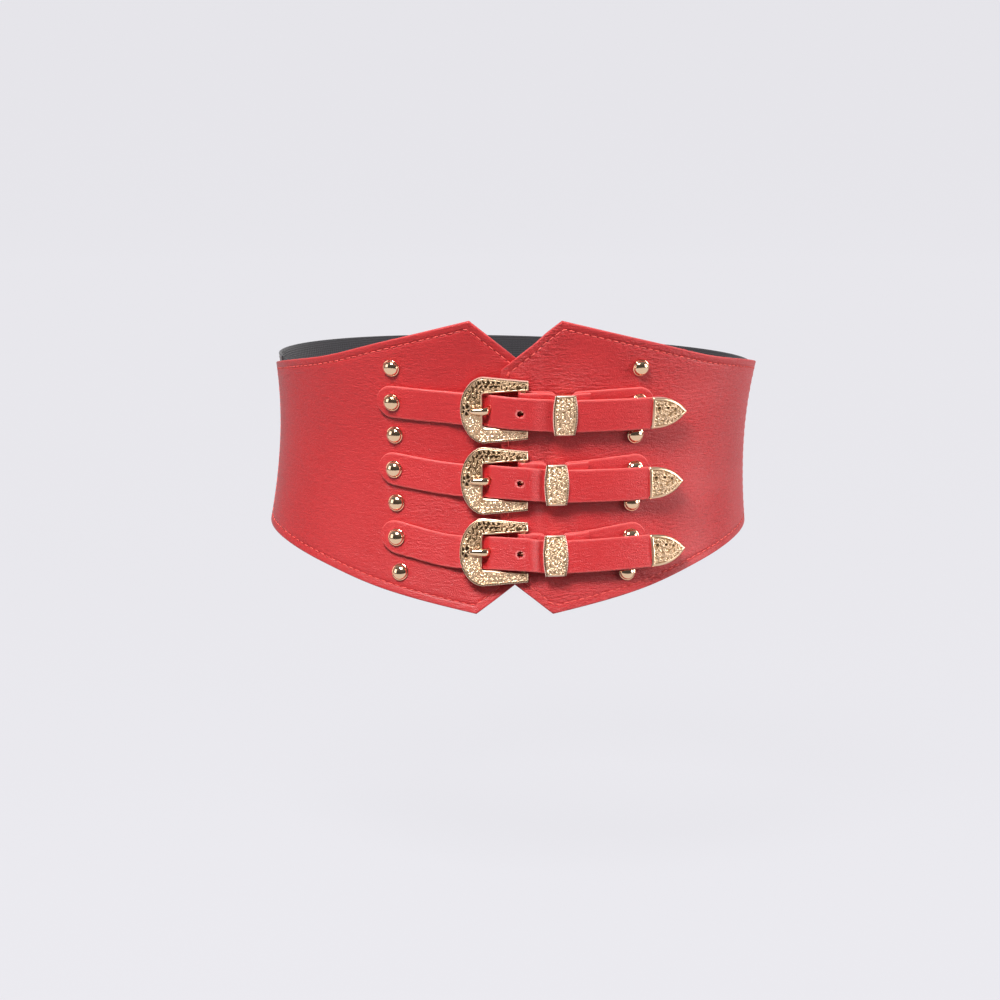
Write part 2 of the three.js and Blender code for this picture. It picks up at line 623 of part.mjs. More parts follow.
// The buckle frame: a C that is open towards its bar, with tapering arms
function buckleFrame(place) {
  const curve = RAIL_WIDTH + WINDOW_CORNER; // length of the rounded end
  const start = RAIL_OUTER + curve;
  const armOuter = (along) =>
    mix(BUCKLE_HALF, ARM_END_HALF, (along - start) / (ARM_END - start));
  const armInner = (along) =>
    WINDOW_HALF + ARM_SPREAD * ((along - RAIL_INNER) / (ARM_END - RAIL_INNER));
  const arm = spaced(ARM_END, start, BUCKLE_LENGTH / 4).map((along) => ({
    outer: [along, armOuter(along)],
    inner: [along, armInner(along)],
  }));
  const turns = spaced(0, 90, 15).slice(1);
  const bend = turns.map((degrees) => {
    const turn = THREE.MathUtils.degToRad(degrees);
    const slide = clamp01((degrees - 30) / 60);
    const cornerTurn = (clamp01(degrees / 30) * Math.PI) / 2;
    return {
      outer: [start - curve * Math.sin(turn), BUCKLE_HALF * Math.cos(turn)],
      inner: [
        RAIL_INNER + WINDOW_CORNER * (1 - Math.sin(cornerTurn)),
        (WINDOW_HALF - WINDOW_CORNER * (1 - Math.cos(cornerTurn))) * (1 - slide),
      ],
    };
  });
  const half = [...arm, ...bend];
  const flip = ([along, height]) => [along, -height];
  const pairs = [
    ...half,
    ...half.slice(0, -1).reverse().map((p) => ({ outer: flip(p.outer), inner: flip(p.inner) })),
  ];
  const rings = pairs.map(({ outer, inner }) => {
    const width = Math.hypot(outer[0] - inner[0], outer[1] - inner[1]);
    return castSection(width, FRAME_BOTTOM, FRAME_TOP).map(([share, lift]) => new THREE.Vector3(
      mix(outer[0], inner[0], share),
      place.buckle + mix(outer[1], inner[1], share),
      lift,
    ));
  });
  const barLength = 2 * (WINDOW_HALF + ARM_SPREAD + ARM_END_WIDTH / 2);
  const bar = new THREE.CylinderGeometry(BAR_RADIUS, BAR_RADIUS, barLength, 8)
    .translate(BAR, place.buckle, BAR_LIFT);
  const middle = () => place.buckle;
  return joined([wrapped(skinned(rings, capOf), middle), wrapped(bar, middle)]);
}

// The keeper: a barrel-shaped cast plate on a loop that holds the strap down on the tab
function keeper(place) {
  const low = place.keeperHeight - STRAP_HALF - CLEARANCE;
  const high = place.keeperHeight + TAB_OFFSET + STRAP_HALF + CLEARANCE;
  const middle = (low + high) / 2;
  const half = (high - low) / 2 + KEEPER_WALL;
  const inside = STRAP_IN_KEEPER + STRAP_CLEAR;
  const rings = spaced(-1, 1, 1 / 3).map((share) => {
    const width = mix(KEEPER_WIDTH, KEEPER_END_WIDTH, share ** 2);
    const top = inside + KEEPER_PLATE_THICKNESS - KEEPER_CROWN * share ** 2;
    return castSection(width, inside, top).map(([part, lift]) => new THREE.Vector3(
      place.keeper + (part - 0.5) * width, middle + share * half, lift,
    ));
  });
  // The sections lie along the belt, so the caps are triangulated on that plane.
  const across = (ring) => capOf(ring.map((p) => new THREE.Vector3(0, p.x, p.z)));
  const foot = REST_GAP;
  const loop = new THREE.Shape([
    [-half, foot], [half, foot], [half, inside + 0.2], [-half, inside + 0.2],
  ].map(([x, y]) => new THREE.Vector2(x, y)));
  loop.holes.push(new THREE.Path([
    [-half + KEEPER_WALL, foot + KEEPER_WALL], [-half + KEEPER_WALL, inside],
    [half - KEEPER_WALL, inside], [half - KEEPER_WALL, foot + KEEPER_WALL],
  ].map(([x, y]) => new THREE.Vector2(x, y))));
  const ring = new THREE.ExtrudeGeometry(loop, { depth: KEEPER_LOOP_WIDTH, bevelEnabled: false })
    .translate(0, 0, -KEEPER_LOOP_WIDTH / 2)
    .applyMatrix4(new THREE.Matrix4().makeBasis(
      new THREE.Vector3(0, 1, 0), new THREE.Vector3(0, 0, 1), new THREE.Vector3(1, 0, 0),
    ))
    .translate(place.keeper, middle, 0);
  return joined([
    wrapped(skinned(rings, across), () => middle),
    wrapped(ring, () => middle),
  ]);
}

// The strap's tip: a pointed cast cap with a pocket for the strap's end
function strapTip(place) {
  const centre = STRAP_OVER_STUD;
  const widthAt = (share) => TIP_WIDTH * (1 - share ** 2);
  const alongAt = (share) =>
    TIP_START + TIP_LENGTH * (share + TIP_BULGE * share * (1 - share));
  const rings = TIP_RINGS.map((share) => {
    const width = widthAt(share);
    const along = alongAt(share);
    const edge = mix(1, TIP_END, share ** 3) * TIP_HALF_THICKNESS;
    return castSection(width, centre - edge, centre + edge).map(([part, lift]) =>
      new THREE.Vector3(along, place.strapHeight(along) + (part - 0.5) * width, lift));
  });
  const room = TIP_WIDTH / 2 - TIP_WALL;
  const pocketEnd = TIP_START + TIP_POCKET;
  const deep = STRAP_THICKNESS / 2 + CLEARANCE;
  const pocket = [TIP_START - 1, pocketEnd].map((along) => {
    const height = place.strapHeight(along);
    return [[-1, 1], [1, 1], [1, -1], [-1, -1]].map(([v, w]) =>
      new THREE.Vector3(along, height + v * room, centre + w * deep));
  });
  return cut(wrapped(skinned(rings, capOf), place.strapHeight), [
    wrapped(skinned(pocket, capOf), place.strapHeight),
  ]);
}

function named(name, geometry, finish) {
  const mesh = new THREE.Mesh(geometry, new THREE.MeshStandardMaterial(COLOURS[finish]));
  mesh.name = name;
  return mesh;
}

function group(...members) {
  const whole = new THREE.Group();
  for (const member of members) whole.add(member);
  return whole;
}

const body = group(
  named("panel_left", panel(-1), "leather"),
  named("panel_right", panel(1), "leather"),
  named("back_elastic", elastic(), "elastic"),
);

const studs = group();
for (const side of [-1, 1]) {
  for (let i = 0; i < STUD_COUNT; i++) studs.add(stud(side, i));
}

const closures = ROWS.map((row) => {
  const place = layoutOf(row);
  return group(
    named(`strap_${row.name}`, strap(place), "leather"),
    named(`buckle_tab_${row.name}`, buckleTab(place), "leather"),
    named(`buckle_frame_${row.name}`, buckleFrame(place), "gold"),
    named(`prong_${row.name}`, prong(place), "gold"),
    named(`keeper_${row.name}`, keeper(place), "gold"),
    named(`strap_tip_${row.name}`, strapTip(place), "gold"),
  );
});

export default group(body, studs, ...closures);
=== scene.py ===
import math

import bpy
import numpy as np
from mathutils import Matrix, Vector


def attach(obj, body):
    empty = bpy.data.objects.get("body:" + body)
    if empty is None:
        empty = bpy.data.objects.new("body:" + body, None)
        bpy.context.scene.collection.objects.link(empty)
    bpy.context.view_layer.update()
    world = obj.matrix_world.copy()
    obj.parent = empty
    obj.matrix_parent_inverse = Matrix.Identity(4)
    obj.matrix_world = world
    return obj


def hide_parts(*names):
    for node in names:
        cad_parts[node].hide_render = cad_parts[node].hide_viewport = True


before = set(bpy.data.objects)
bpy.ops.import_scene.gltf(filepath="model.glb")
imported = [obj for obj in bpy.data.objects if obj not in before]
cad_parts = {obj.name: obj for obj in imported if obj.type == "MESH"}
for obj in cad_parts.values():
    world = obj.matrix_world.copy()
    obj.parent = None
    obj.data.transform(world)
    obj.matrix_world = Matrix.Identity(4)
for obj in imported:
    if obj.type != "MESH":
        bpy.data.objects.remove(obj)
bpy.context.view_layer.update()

scene = bpy.context.scene

# THE STUDIO
# A pale sweep of paper that runs under the belt and up behind it, soft light from above and
# both sides, and the camera where the photographer stood, a little above the waist.
CAMERA_PLACE = (-0.0067, -1.77886, 0.27737)
CAMERA_TILT = math.radians(10)
CAMERA_LENS = 116.03
CAMERA_REACH = 50
FLOOR_HEIGHT = -0.25
FLOOR_RADIUS = 1.3
ROOM_RADIUS = 4.5
ROOM_TOP = 5.0
PAPER_BEND = 1.0
PAPER_SIDES = 96
PAPER_GLOW = 0.98
EYE_BAND = 0.2
LIGHT_BELOW = 0.12
LIGHT_ABOVE = 0.18
LIGHT_BEHIND = 0.5
LEAST_LIGHT = 0.07


def srgb(red, green, blue):
    """A colour given as 0 to 255 on a screen, as the shaders want it."""
    return tuple(
        (c / 12.92 if c <= 0.04045 else ((c + 0.055) / 1.055) ** 2.4)
        for c in (red / 255, green / 255, blue / 255)
    ) + (1.0,)


camera = bpy.data.objects.new("camera", bpy.data.cameras.new("camera"))
camera.location = CAMERA_PLACE
camera.rotation_euler = (math.pi / 2 - CAMERA_TILT, 0, 0)
camera.data.lens = CAMERA_LENS
camera.data.clip_end = CAMERA_REACH
scene.collection.objects.link(camera)
scene.camera = camera
scene.view_settings.view_transform = "Standard"


class Wire:
    """A shader socket that can be used in sums. Numbers alone stay numbers."""

    def __init__(self, finish, socket):
        self.finish = finish
        self.socket = socket

    def maths(self, operation, *values):
        sockets = dict(enumerate(values))
        return self.finish.add("ShaderNodeMath", {"operation": operation}, sockets)

    def __add__(self, other):
        return self.maths("ADD", self, other)

    def __sub__(self, other):
        return self.maths("SUBTRACT", self, other)

    def __rsub__(self, other):
        return self.maths("SUBTRACT", other, self)

    def __mul__(self, other):
        return self.maths("MULTIPLY", self, other)

    def __truediv__(self, other):
        return self.maths("DIVIDE", self, other)

    def __pow__(self, other):
        return self.maths("POWER", self, other)

    __radd__ = __add__
    __rmul__ = __mul__

    def held(self):
        """The same value kept between 0 and 1."""
        return self.finish.add(
            "ShaderNodeMath", {"operation": "ADD", "use_clamp": True}, {0: self, 1: 0.0}
        )


class Finish:
    """A material, or the room's light, while it is being mixed."""

    def __init__(self, name, shelf=None):
        self.material = (bpy.data.materials if shelf is None else shelf).new(name)
        self.material.use_nodes = True
        self.tree = self.material.node_tree
        self.tree.nodes.clear()

    def add(self, kind, settings=None, sockets=None, output=0):
        """One node: its settings first, then a value or a wire for each socket."""
        node = self.tree.nodes.new(kind)
        for name, value in (settings or {}).items():
            setattr(node, name, value)
        for name, value in (sockets or {}).items():
            if isinstance(value, Wire):
                self.tree.links.new(value.socket, node.inputs[name])
            else:
                node.inputs[name].default_value = value
        return Wire(self, node.outputs[output] if len(node.outputs) else None)

    def place(self, scale=(1, 1, 1)):
        """Where a point lies on the object, in metres, stretched by scale."""
        coordinates = self.add("ShaderNodeTexCoord", output=3)
        return self.add("ShaderNodeMapping", {}, {"Vector": coordinates, "Scale": scale})

    def noise(self, place, scale, detail=2.0, roughness=0.5):
        """Soft irregular variation between 0 and 1, with scale grains a metre."""
        sockets = {"Vector": place, "Scale": scale, "Detail": detail, "Roughness": roughness}
        return self.add("ShaderNodeTexNoise", {}, sockets)

    def attribute(self, name):
        """A value that the mesh holds at each of its points."""
        return self.add("ShaderNodeAttribute", {"attribute_name": name}, output=2)

    def mix(self, share, first, second):
        """A colour between two others."""
        sockets = {0: share, 6: first, 7: second}
        return self.add("ShaderNodeMix", {"data_type": "RGBA"}, sockets, output=2)

    def bump(self, height, strength, distance):
        """A surface direction disturbed by a height, distance being in metres."""
        sockets = {"Height": height, "Strength": strength, "Distance": distance}
        return self.add("ShaderNodeBump", {}, sockets)

    def shine(self, **sockets):
        """The closing shader, with its sockets named by words joined by _."""
        named = {name.replace("_", " "): value for name, value in sockets.items()}
        shader = self.add("ShaderNodeBsdfPrincipled", {}, named)
        self.add("ShaderNodeOutputMaterial", {}, {"Surface": shader})
        return self.material


paper = Finish("paper")
paper_shade = paper.noise(paper.place(), 3.0)
paper_finish = paper.shine(
    Base_Color=paper.mix(paper_shade, srgb(42, 42, 44), srgb(48, 48, 50)),
    Roughness=0.9,
    Specular_IOR_Level=0.1,
    Emission_Color=srgb(231, 230, 235),
    Emission_Strength=PAPER_GLOW,
)


def paper_ring(name, profile):
    """Paper turned round the middle of the studio, from radii and heights in metres."""
    count = PAPER_SIDES
    turns = np.arange(count) * 2 * math.pi / count
    points = [(r * math.cos(t), r * math.sin(t), z) for r, z in profile for t in turns]
    faces = [
        (i * count + j, i * count + (j + 1) % count, (i + 1) * count + (j + 1) % count,
         (i + 1) * count + j)
        for i in range(len(profile) - 1) for j in range(count)
    ]
    mesh = bpy.data.meshes.new(name)
    mesh.from_pydata(points, [], [face[::-1] for face in faces])
    mesh.polygons.foreach_set("use_smooth", [True] * len(faces))
    mesh.materials.append(paper_finish)
    ring = bpy.data.objects.new(name, mesh)
    ring.visible_diffuse = False
    scene.collection.objects.link(ring)
    return ring


paper_ring("floor", [(0, FLOOR_HEIGHT), (FLOOR_RADIUS, FLOOR_HEIGHT)])
bend = np.linspace(0, math.pi / 2, 13)
backdrop = paper_ring("backdrop", [(FLOOR_RADIUS, FLOOR_HEIGHT)] + [
    (
        ROOM_RADIUS - PAPER_BEND * (1 - math.sin(t)),
        FLOOR_HEIGHT + PAPER_BEND * (1 - math.cos(t)),
    )
    for t in bend
] + [(ROOM_RADIUS, ROOM_TOP)])
backdrop.visible_glossy = False

LAMPS = [
    # name, place, size across in metres, watts
    ("key", (-0.25, -0.78, 0.85), 0.38, 19.5),
    ("left", (-1.7, -0.6, 0.3), 0.9, 5),
    ("right", (1.8, -0.25, 0.25), 0.8, 25),
]
for name, place, size, power in LAMPS:
    lamp = bpy.data.lights.new(name, "AREA")
    lamp.size = size
    lamp.energy = power
    light = bpy.data.objects.new(name, lamp)
    light.location = place
    light.rotation_euler = (-Vector(place)).to_track_quat("-Z", "Y").to_euler()
    light.visible_camera = False
    scene.collection.objects.link(light)

# the room that the belt sees: dark before it at eye height, lighter below, above and behind
room = Finish("studio", bpy.data.worlds)
sight = room.add("ShaderNodeTexCoord")
behind, height = (
    room.add("ShaderNodeSeparateXYZ", {}, {0: sight}, output=k) for k in (1, 2)
)
below = ((0 - height - EYE_BAND) * 5).held() * LIGHT_BELOW
above = ((height - EYE_BAND) * 1.4).held() * LIGHT_ABOVE
rear = (behind * 1.6).held() * LIGHT_BEHIND
ambient = room.mix(
    (below + above + rear + LEAST_LIGHT).held(), srgb(0, 0, 0), (1, 1, 1.03, 1)
)
room.add(
    "ShaderNodeOutputWorld", {}, {"Surface": room.add("ShaderNodeBackground", {}, {0: ambient})}
)
scene.world = room.material

# THE WAIST AND THE FRONT PANELS
# Two panels of red imitation leather on a backing, cut to an upper and a lower point, with a
# line of stitches all round. They are bent round the waist, the right one over the left one.
MM = 0.001
WAIST_WIDTH = 258.6
WAIST_DEPTH = 184.0
FLARE_ABOVE = 13.0
FLARE_BELOW = 9.6
FLARE_HEIGHT = 78.0
SIDE_LEAN = 4.0
TURN = 1.2
CLEARANCE = 0.35
REST_GAP = 0.6

PANEL_THICKNESS = 1.8
PANEL_LENGTH = 172.0
PANEL_LAP = 7.4
PANEL_CORNER = 2.0
PEAK_SETBACK = 23.0
PEAK_HEIGHT = 76.5
TIP_SETBACK = 19.5
TIP_DROP = 80.0
UPPER_NOTCH = 19.6
LOWER_NOTCH = 15.3
LAP_RAMP = 8.0
LAP_LIFT = PANEL_THICKNESS + CLEARANCE
LAP_END = PANEL_LAP + 1
PANEL_EDGE = [
    # share of the way back, of the peak's height, of the tip's drop
    (0, 1, 1),
    (0.32, 0.828, 0.867),
    (0.58, 0.692, 0.731),
    (0.8, 0.618, 0.635),
    (1, 0.554, 0.572),
]
EDGE_ROUNDING = 0.55
SEAM_INSET = 3.9
SEAM_WIDTH = 0.75
SEAM_DEPTH = 0.36
STITCH_PITCH = 4.2
STITCH_LENGTH = 3.3
STITCH_THICKNESS = 0.62
STITCH_LIFT = 0.25
NEEDLE_HOLE = 0.9
PANEL_GRAIN = 1.7
PANEL_ROWS = 64
WORN_WIDTH = 0.7
WORN_SHARE = 0.6


def walk_of(points):
    """How far along a line of points each of them lies."""
    return np.concatenate([[0], np.cumsum(np.linalg.norm(np.diff(points, axis=0), axis=1))])


ring_turns = np.linspace(-math.pi / 2, 1.5 * math.pi, 6001)
ring_points = np.stack(
    [WAIST_WIDTH / 2 * np.cos(ring_turns), WAIST_DEPTH / 2 * np.sin(ring_turns)], axis=1
)
ring_walk = walk_of(ring_points)
GIRTH = ring_walk[-1]


def unit(vectors):
    return vectors / np.linalg.norm(vectors, axis=-1, keepdims=True)


def on_face(along, height):
    """Points of the panels' outer face, in millimetres."""
    along, height = np.broadcast_arrays(along, height)
    turn = np.interp((along + TURN) % GIRTH, ring_walk, ring_turns)
    x = WAIST_WIDTH / 2 * np.cos(turn)
    y = WAIST_DEPTH / 2 * np.sin(turn)
    out = unit(np.stack([x / WAIST_WIDTH**2, y / WAIST_DEPTH**2], axis=-1))
    rise = height / FLARE_HEIGHT
    flare = np.where(height > 0, FLARE_ABOVE, FLARE_BELOW) * rise**2
    lean = SIDE_LEAN * rise * (2 * x / WAIST_WIDTH) ** 2
    return np.stack([x + lean + out[..., 0] * flare, y + out[..., 1] * flare, height], -1)


def directions(along, height):
    """Along the belt, up it and out of it, at places on the face."""
    near = 0.5
    side = unit(on_face(along + near, height) - on_face(along - near, height))
    climb = on_face(along, height + near) - on_face(along, height - near)
    out = unit(np.cross(side, climb))
    return side, np.cross(out, side), out


def on_belt(along, height, lift, line=None):
    """Points laid out flat, bent round the waist. A piece with a line stays straight across."""
    along, height, lift = np.broadcast_arrays(along, height, lift)
    base = height if line is None else np.broadcast_to(line, height.shape)
    side, up, out = directions(along, base)
    return on_face(along, base) + out * lift[..., None] + up * (height - base)[..., None]


def through(rows):
    """A smooth curve through rows of x and y that never overshoots, straight beyond its ends."""
    x, y = np.array(rows, float).T
    rise = np.diff(y) / np.diff(x)
    before = np.concatenate([rise[:1], rise])
    after = np.concatenate([rise, rise[-1:]])
    same = before * after > 0
    slope = np.zeros(len(x))
    slope[same] = 2 * before[same] * after[same] / (before[same] + after[same])

    def value(at):
        at = np.asarray(at, float)
        i = np.clip(np.searchsorted(x, at, side="right") - 1, 0, len(x) - 2)
        step = x[i + 1] - x[i]
        t = np.clip((at - x[i]) / step, 0, 1)
        curve = slope[i] * t * (1 - t) ** 2 - slope[i + 1] * t**2 * (1 - t)
        inside = y[i] + (y[i + 1] - y[i]) * t * t * (3 - 2 * t) + step * curve
        past = np.minimum(at - x[0], 0) * slope[0] + np.maximum(at - x[-1], 0) * slope[-1]
        return inside + past

    return value


def slope_at(curve, along):
    return curve(along + 0.5) - curve(along - 0.5)


def smooth(t):
    t = np.clip(t, 0, 1)
    return t * t * (3 - 2 * t)


def hump(distance, width, power=2):
    """1 at a line, fading to 0 on both sides of it. A higher power has steeper sides."""
    return np.exp(-((distance / width) ** power))


def rounding_at(inset, radius):
    """How much a rounded edge takes off, at a distance inside it."""
    lean = np.clip(1 - inset / radius, 0, 1)
    return radius * (1 - np.sqrt(1 - lean**2))


def spaced(first, last, step):
    """Evenly spaced values, both ends included, no further apart than step."""
    return np.linspace(first, last, max(1, math.ceil(abs(last - first) / step - 1e-6)) + 1)


def make_piece(name, points, faces, material, values=None, crease=40):
    """A closed mesh from points in millimetres, its faces turned outwards."""
    points = np.asarray(points, float).reshape(-1, 3) * MM
    faces = [tuple(face) for face in faces]
    volume = 0.0
    for face in faces:
        for i in range(1, len(face) - 1):
            a, b, c = points[face[0]], points[face[i]], points[face[i + 1]]
            volume += a[0] * (b[1] * c[2] - b[2] * c[1])
            volume += a[1] * (b[2] * c[0] - b[0] * c[2])
            volume += a[2] * (b[0] * c[1] - b[1] * c[0])
    if volume < 0:
        faces = [face[::-1] for face in faces]
    mesh = bpy.data.meshes.new(name)
    mesh.from_pydata(points.tolist(), [], faces)
    mesh.polygons.foreach_set("use_smooth", [True] * len(faces))
    mesh.set_sharp_from_angle(angle=math.radians(crease))
    for key, value in (values or {}).items():
        layer = mesh.attributes.new(key, "FLOAT", "POINT")
        layer.data.foreach_set("value", np.asarray(value, float).ravel())
    mesh.materials.append(material)
    piece = bpy.data.objects.new(name, mesh)
    scene.collection.objects.link(piece)
    return piece


def grid_faces(rows, columns, start=0):
    corner = start + np.arange(rows - 1)[:, None] * columns + np.arange(columns - 1)[None, :]
    quads = np.stack([corner, corner + 1, corner + columns + 1, corner + columns], axis=-1)
    return quads.reshape(-1, 4).tolist()


def wall_faces(rows, columns):
    """Faces of two grids of points, one over the other, joined round their border."""
    top = grid_faces(rows, columns)
    under = [face[::-1] for face in grid_faces(rows, columns, rows * columns)]
    border = list(range(columns))
    border += [i * columns + columns - 1 for i in range(1, rows)]
    border += [(rows - 1) * columns + j for j in range(columns - 2, -1, -1)]
    border += [i * columns for i in range(rows - 2, 0, -1)]
    below = rows * columns
    sides = [(b, a, a + below, b + below) for a, b in zip(border, border[1:] + border[:1])]
    return top + under + sides


def edge_of(setback, reach, notch, column):
    """A panel's upper or lower edge: its height at a distance back, and inside by an inset."""
    curve = through(
        [(setback + row[0] * (PANEL_LENGTH - setback), reach * row[column]) for row in PANEL_EDGE]
    )
    diagonal_slope = notch / setback

    def height(along, inset=0.0):
        back = curve(along) - inset * np.sqrt(1 + slope_at(curve, along) ** 2)
        front = reach + diagonal_slope * (along - setback)
        front = front - inset * math.sqrt(1 + diagonal_slope**2)
        return np.minimum(back - rounding_at(PANEL_LENGTH - along, PANEL_CORNER), front)

    return height


top_of = edge_of(PEAK_SETBACK, PEAK_HEIGHT, UPPER_NOTCH, 1)
bottom_of = edge_of(TIP_SETBACK, TIP_DROP, LOWER_NOTCH, 2)

# distances from an edge at which the panel's mesh has a line: the rounding, then the seam
SEAM_LINES = (-1.3, -0.9, -0.55, -0.25, 0, 0.25, 0.55, 0.9, 1.3, 1.8)
BORDER = np.array(
    [0, 0.06, 0.2, 0.38, 0.6, 1.2, 2.2, 3.3]
    + [SEAM_INSET + k * SEAM_WIDTH for k in SEAM_LINES]
    + [7.6, 9.6]
)


def lap_lift(side, along):
    """How far a panel stands off, from its lap over the other panel onwards."""
    lap = 1 - smooth((along - LAP_END) / LAP_RAMP)
    return (LAP_LIFT if side > 0 else 0) * lap


def panel_surface(side):
    """Distance along, height, lift of both faces and nearness to the edge, as grids."""
    edge = BORDER[-1]
    along = np.concatenate([
        BORDER - PANEL_LAP,
        spaced(edge - PANEL_LAP, TIP_SETBACK, PANEL_GRAIN)[1:],
        spaced(TIP_SETBACK, PEAK_SETBACK, PANEL_GRAIN)[1:],
        spaced(PEAK_SETBACK, PANEL_LENGTH - edge, PANEL_GRAIN)[1:],
        PANEL_LENGTH - BORDER[::-1][1:],
    ])
    rows = [top_of(along, inset) for inset in BORDER]
    feet = [-bottom_of(along, inset) for inset in BORDER]
    middle = [
        rows[-1] + (feet[-1] - rows[-1]) * k / PANEL_ROWS for k in range(1, PANEL_ROWS)
    ]
    height = np.stack(rows + middle + feet[::-1], axis=1)
    along = np.broadcast_to(along[:, None], height.shape)
    reach = [along + PANEL_LAP, PANEL_LENGTH - along]
    for line, outline in ((height, top_of), (-height, bottom_of)):
        reach.append((outline(along) - line) / np.sqrt(1 + slope_at(outline, along) ** 2))
    inset = np.clip(np.minimum.reduce(reach), 0, None)
    rounding = rounding_at(inset, EDGE_ROUNDING)
    face = lap_lift(side, along)
    outer = face - rounding - SEAM_DEPTH * hump(inset - SEAM_INSET, SEAM_WIDTH)
    inner = face - PANEL_THICKNESS + rounding
    return along, height, outer, inner, inset


# Leather: grain of fine pebbles and creases over soft uneven colour, paler where an edge turns,
# and a painted highlight: a pale ring round each punched hole
def leather(name, light, deep, edge, wrinkle, gloss):
    made = Finish(name)
    place = made.place()
    cloud = made.noise(place, 14.0, 3.0, 0.55)
    fibre = made.noise(made.place((1.0, 1.0, 3.4)), 210.0, 3.0, 0.6)
    crease = made.noise(made.place((1.0, 1.0, 2.7)), 330.0, 5.0, 0.6)
    patch = ((made.noise(place, 22.0, 1.0) - 0.36) * 3.2).held()
    pebble = made.add(
        "ShaderNodeTexVoronoi",
        {"feature": "DISTANCE_TO_EDGE"},
        {"Vector": place, "Scale": 1150.0, "Randomness": 1.0},
    )
    cell = (pebble * 2.6).held()
    shade = ((cloud - 0.5) * 1.5 + (fibre - 0.5) * 0.9 + (crease - 0.5) * 0.7 + 0.5).held()
    body = made.mix(shade, deep, light)
    wear_and_shade = made.mix(made.attribute("edge").held(), body, edge)
    pores = made.mix((1 - cell) * 0.14, wear_and_shade, srgb(112, 22, 24))
    # a pale ring painted round each punched hole: a painted highlight
    hole_highlighted = made.mix(made.attribute("rim").held() * 0.8, pores, srgb(252, 158, 150))
    height = cell * 0.4 + crease * (patch * wrinkle + 0.8) + fibre * 0.8
    return made.shine(
        Base_Color=hole_highlighted,
        Roughness=gloss + (cloud - 0.5) * 0.14 + (fibre - 0.5) * 0.2,
        Normal=made.bump(height, 0.7, 0.00042),
        Specular_IOR_Level=0.5,
        Coat_Weight=0.12,
        Coat_Roughness=0.3,
    )


# the right panel has been handled more, and is more wrinkled
panel_finishes = {
    name: leather(
        "panel_leather_" + name, srgb(208, 43, 45), srgb(188, 32, 35), srgb(208, 62, 62),
        wrinkle, 0.44,
    )
    for name, wrinkle in (("left", 1.2), ("right", 4.6))
}
backing = Finish("panel_backing")
weave = backing.noise(backing.place(), 900.0, 2.0)
backing_colour = backing.mix(weave, srgb(150, 44, 48), srgb(176, 62, 64))
backing_finish = backing.shine(
    Base_Color=backing_colour, Roughness=0.85, Normal=backing.bump(weave, 0.4, 0.0002)
)
thread = Finish("thread")
twist = thread.noise(thread.place(), 2600.0, 1.0)
thread_finish = thread.shine(
    Base_Color=thread.mix(twist, srgb(222, 74, 68), srgb(240, 106, 96)),
    Roughness=0.55,
    Normal=thread.bump(twist, 0.3, 0.0001),
)
# painted shade: small dark bodies sunk in the seam between stitches stand for the shade in the
# needle holes
shadow = Finish("needle_hole_shade")
shadow_depth = shadow.noise(shadow.place(), 1500.0, 1.0)
shadow_finish = shadow.shine(
    Base_Color=shadow.mix(shadow_depth, srgb(140, 26, 30), srgb(156, 34, 38)), Roughness=0.9
)


def beads_tree(name):
    """Small rounded bodies set at even steps along a path, lying in the surface."""
    tree = bpy.data.node_groups.new(name, "GeometryNodeTree")
    made = tree.interface
    made.new_socket("Path", in_out="INPUT", socket_type="NodeSocketGeometry")
    for word in ("Pitch", "Length", "Width", "Height"):
        made.new_socket(word, in_out="INPUT", socket_type="NodeSocketFloat")
    made.new_socket("Finish", in_out="INPUT", socket_type="NodeSocketMaterial")
    made.new_socket("Row", in_out="OUTPUT", socket_type="NodeSocketGeometry")
    entry = tree.nodes.new("NodeGroupInput")
    close = tree.nodes.new("NodeGroupOutput")
    line = tree.nodes.new("GeometryNodeMeshToCurve")
    steps = tree.nodes.new("GeometryNodeResampleCurve")
    steps.mode = "LENGTH"
    out = tree.nodes.new("GeometryNodeInputNamedAttribute")
    out.data_type = "FLOAT_VECTOR"
    out.inputs["Name"].default_value = "out"
    ahead = tree.nodes.new("GeometryNodeInputTangent")
    turn = tree.nodes.new("FunctionNodeAxesToRotation")
    turn.primary_axis = "X"
    turn.secondary_axis = "Z"
    ball = tree.nodes.new("GeometryNodeMeshUVSphere")
    ball.inputs["Segments"].default_value = 8
    ball.inputs["Rings"].default_value = 5
    ball.inputs["Radius"].default_value = 0.5
    size = tree.nodes.new("ShaderNodeCombineXYZ")
    set_out = tree.nodes.new("GeometryNodeInstanceOnPoints")
    real = tree.nodes.new("GeometryNodeRealizeInstances")
    soft = tree.nodes.new("GeometryNodeSetShadeSmooth")
    dress = tree.nodes.new("GeometryNodeSetMaterial")
    for source, socket, target, entrance in [
        (entry, "Path", line, "Mesh"),
        (line, "Curve", steps, "Curve"),
        (entry, "Pitch", steps, "Length"),
        (ahead, "Tangent", turn, "Primary Axis"),
        (out, "Attribute", turn, "Secondary Axis"),
        (entry, "Length", size, "X"),
        (entry, "Width", size, "Y"),
        (entry, "Height", size, "Z"),
        (steps, "Curve", set_out, "Points"),
        (ball, "Mesh", set_out, "Instance"),
        (turn, "Rotation", set_out, "Rotation"),
        (size, "Vector", set_out, "Scale"),
        (set_out, "Instances", real, "Geometry"),
        (real, "Geometry", soft, "Geometry"),
        (soft, "Geometry", dress, "Geometry"),
        (entry, "Finish", dress, "Material"),
        (dress, "Geometry", close, "Row"),
    ]:
        tree.links.new(source.outputs[socket], target.inputs[entrance])
    return tree


bead_row = beads_tree("bead_row")


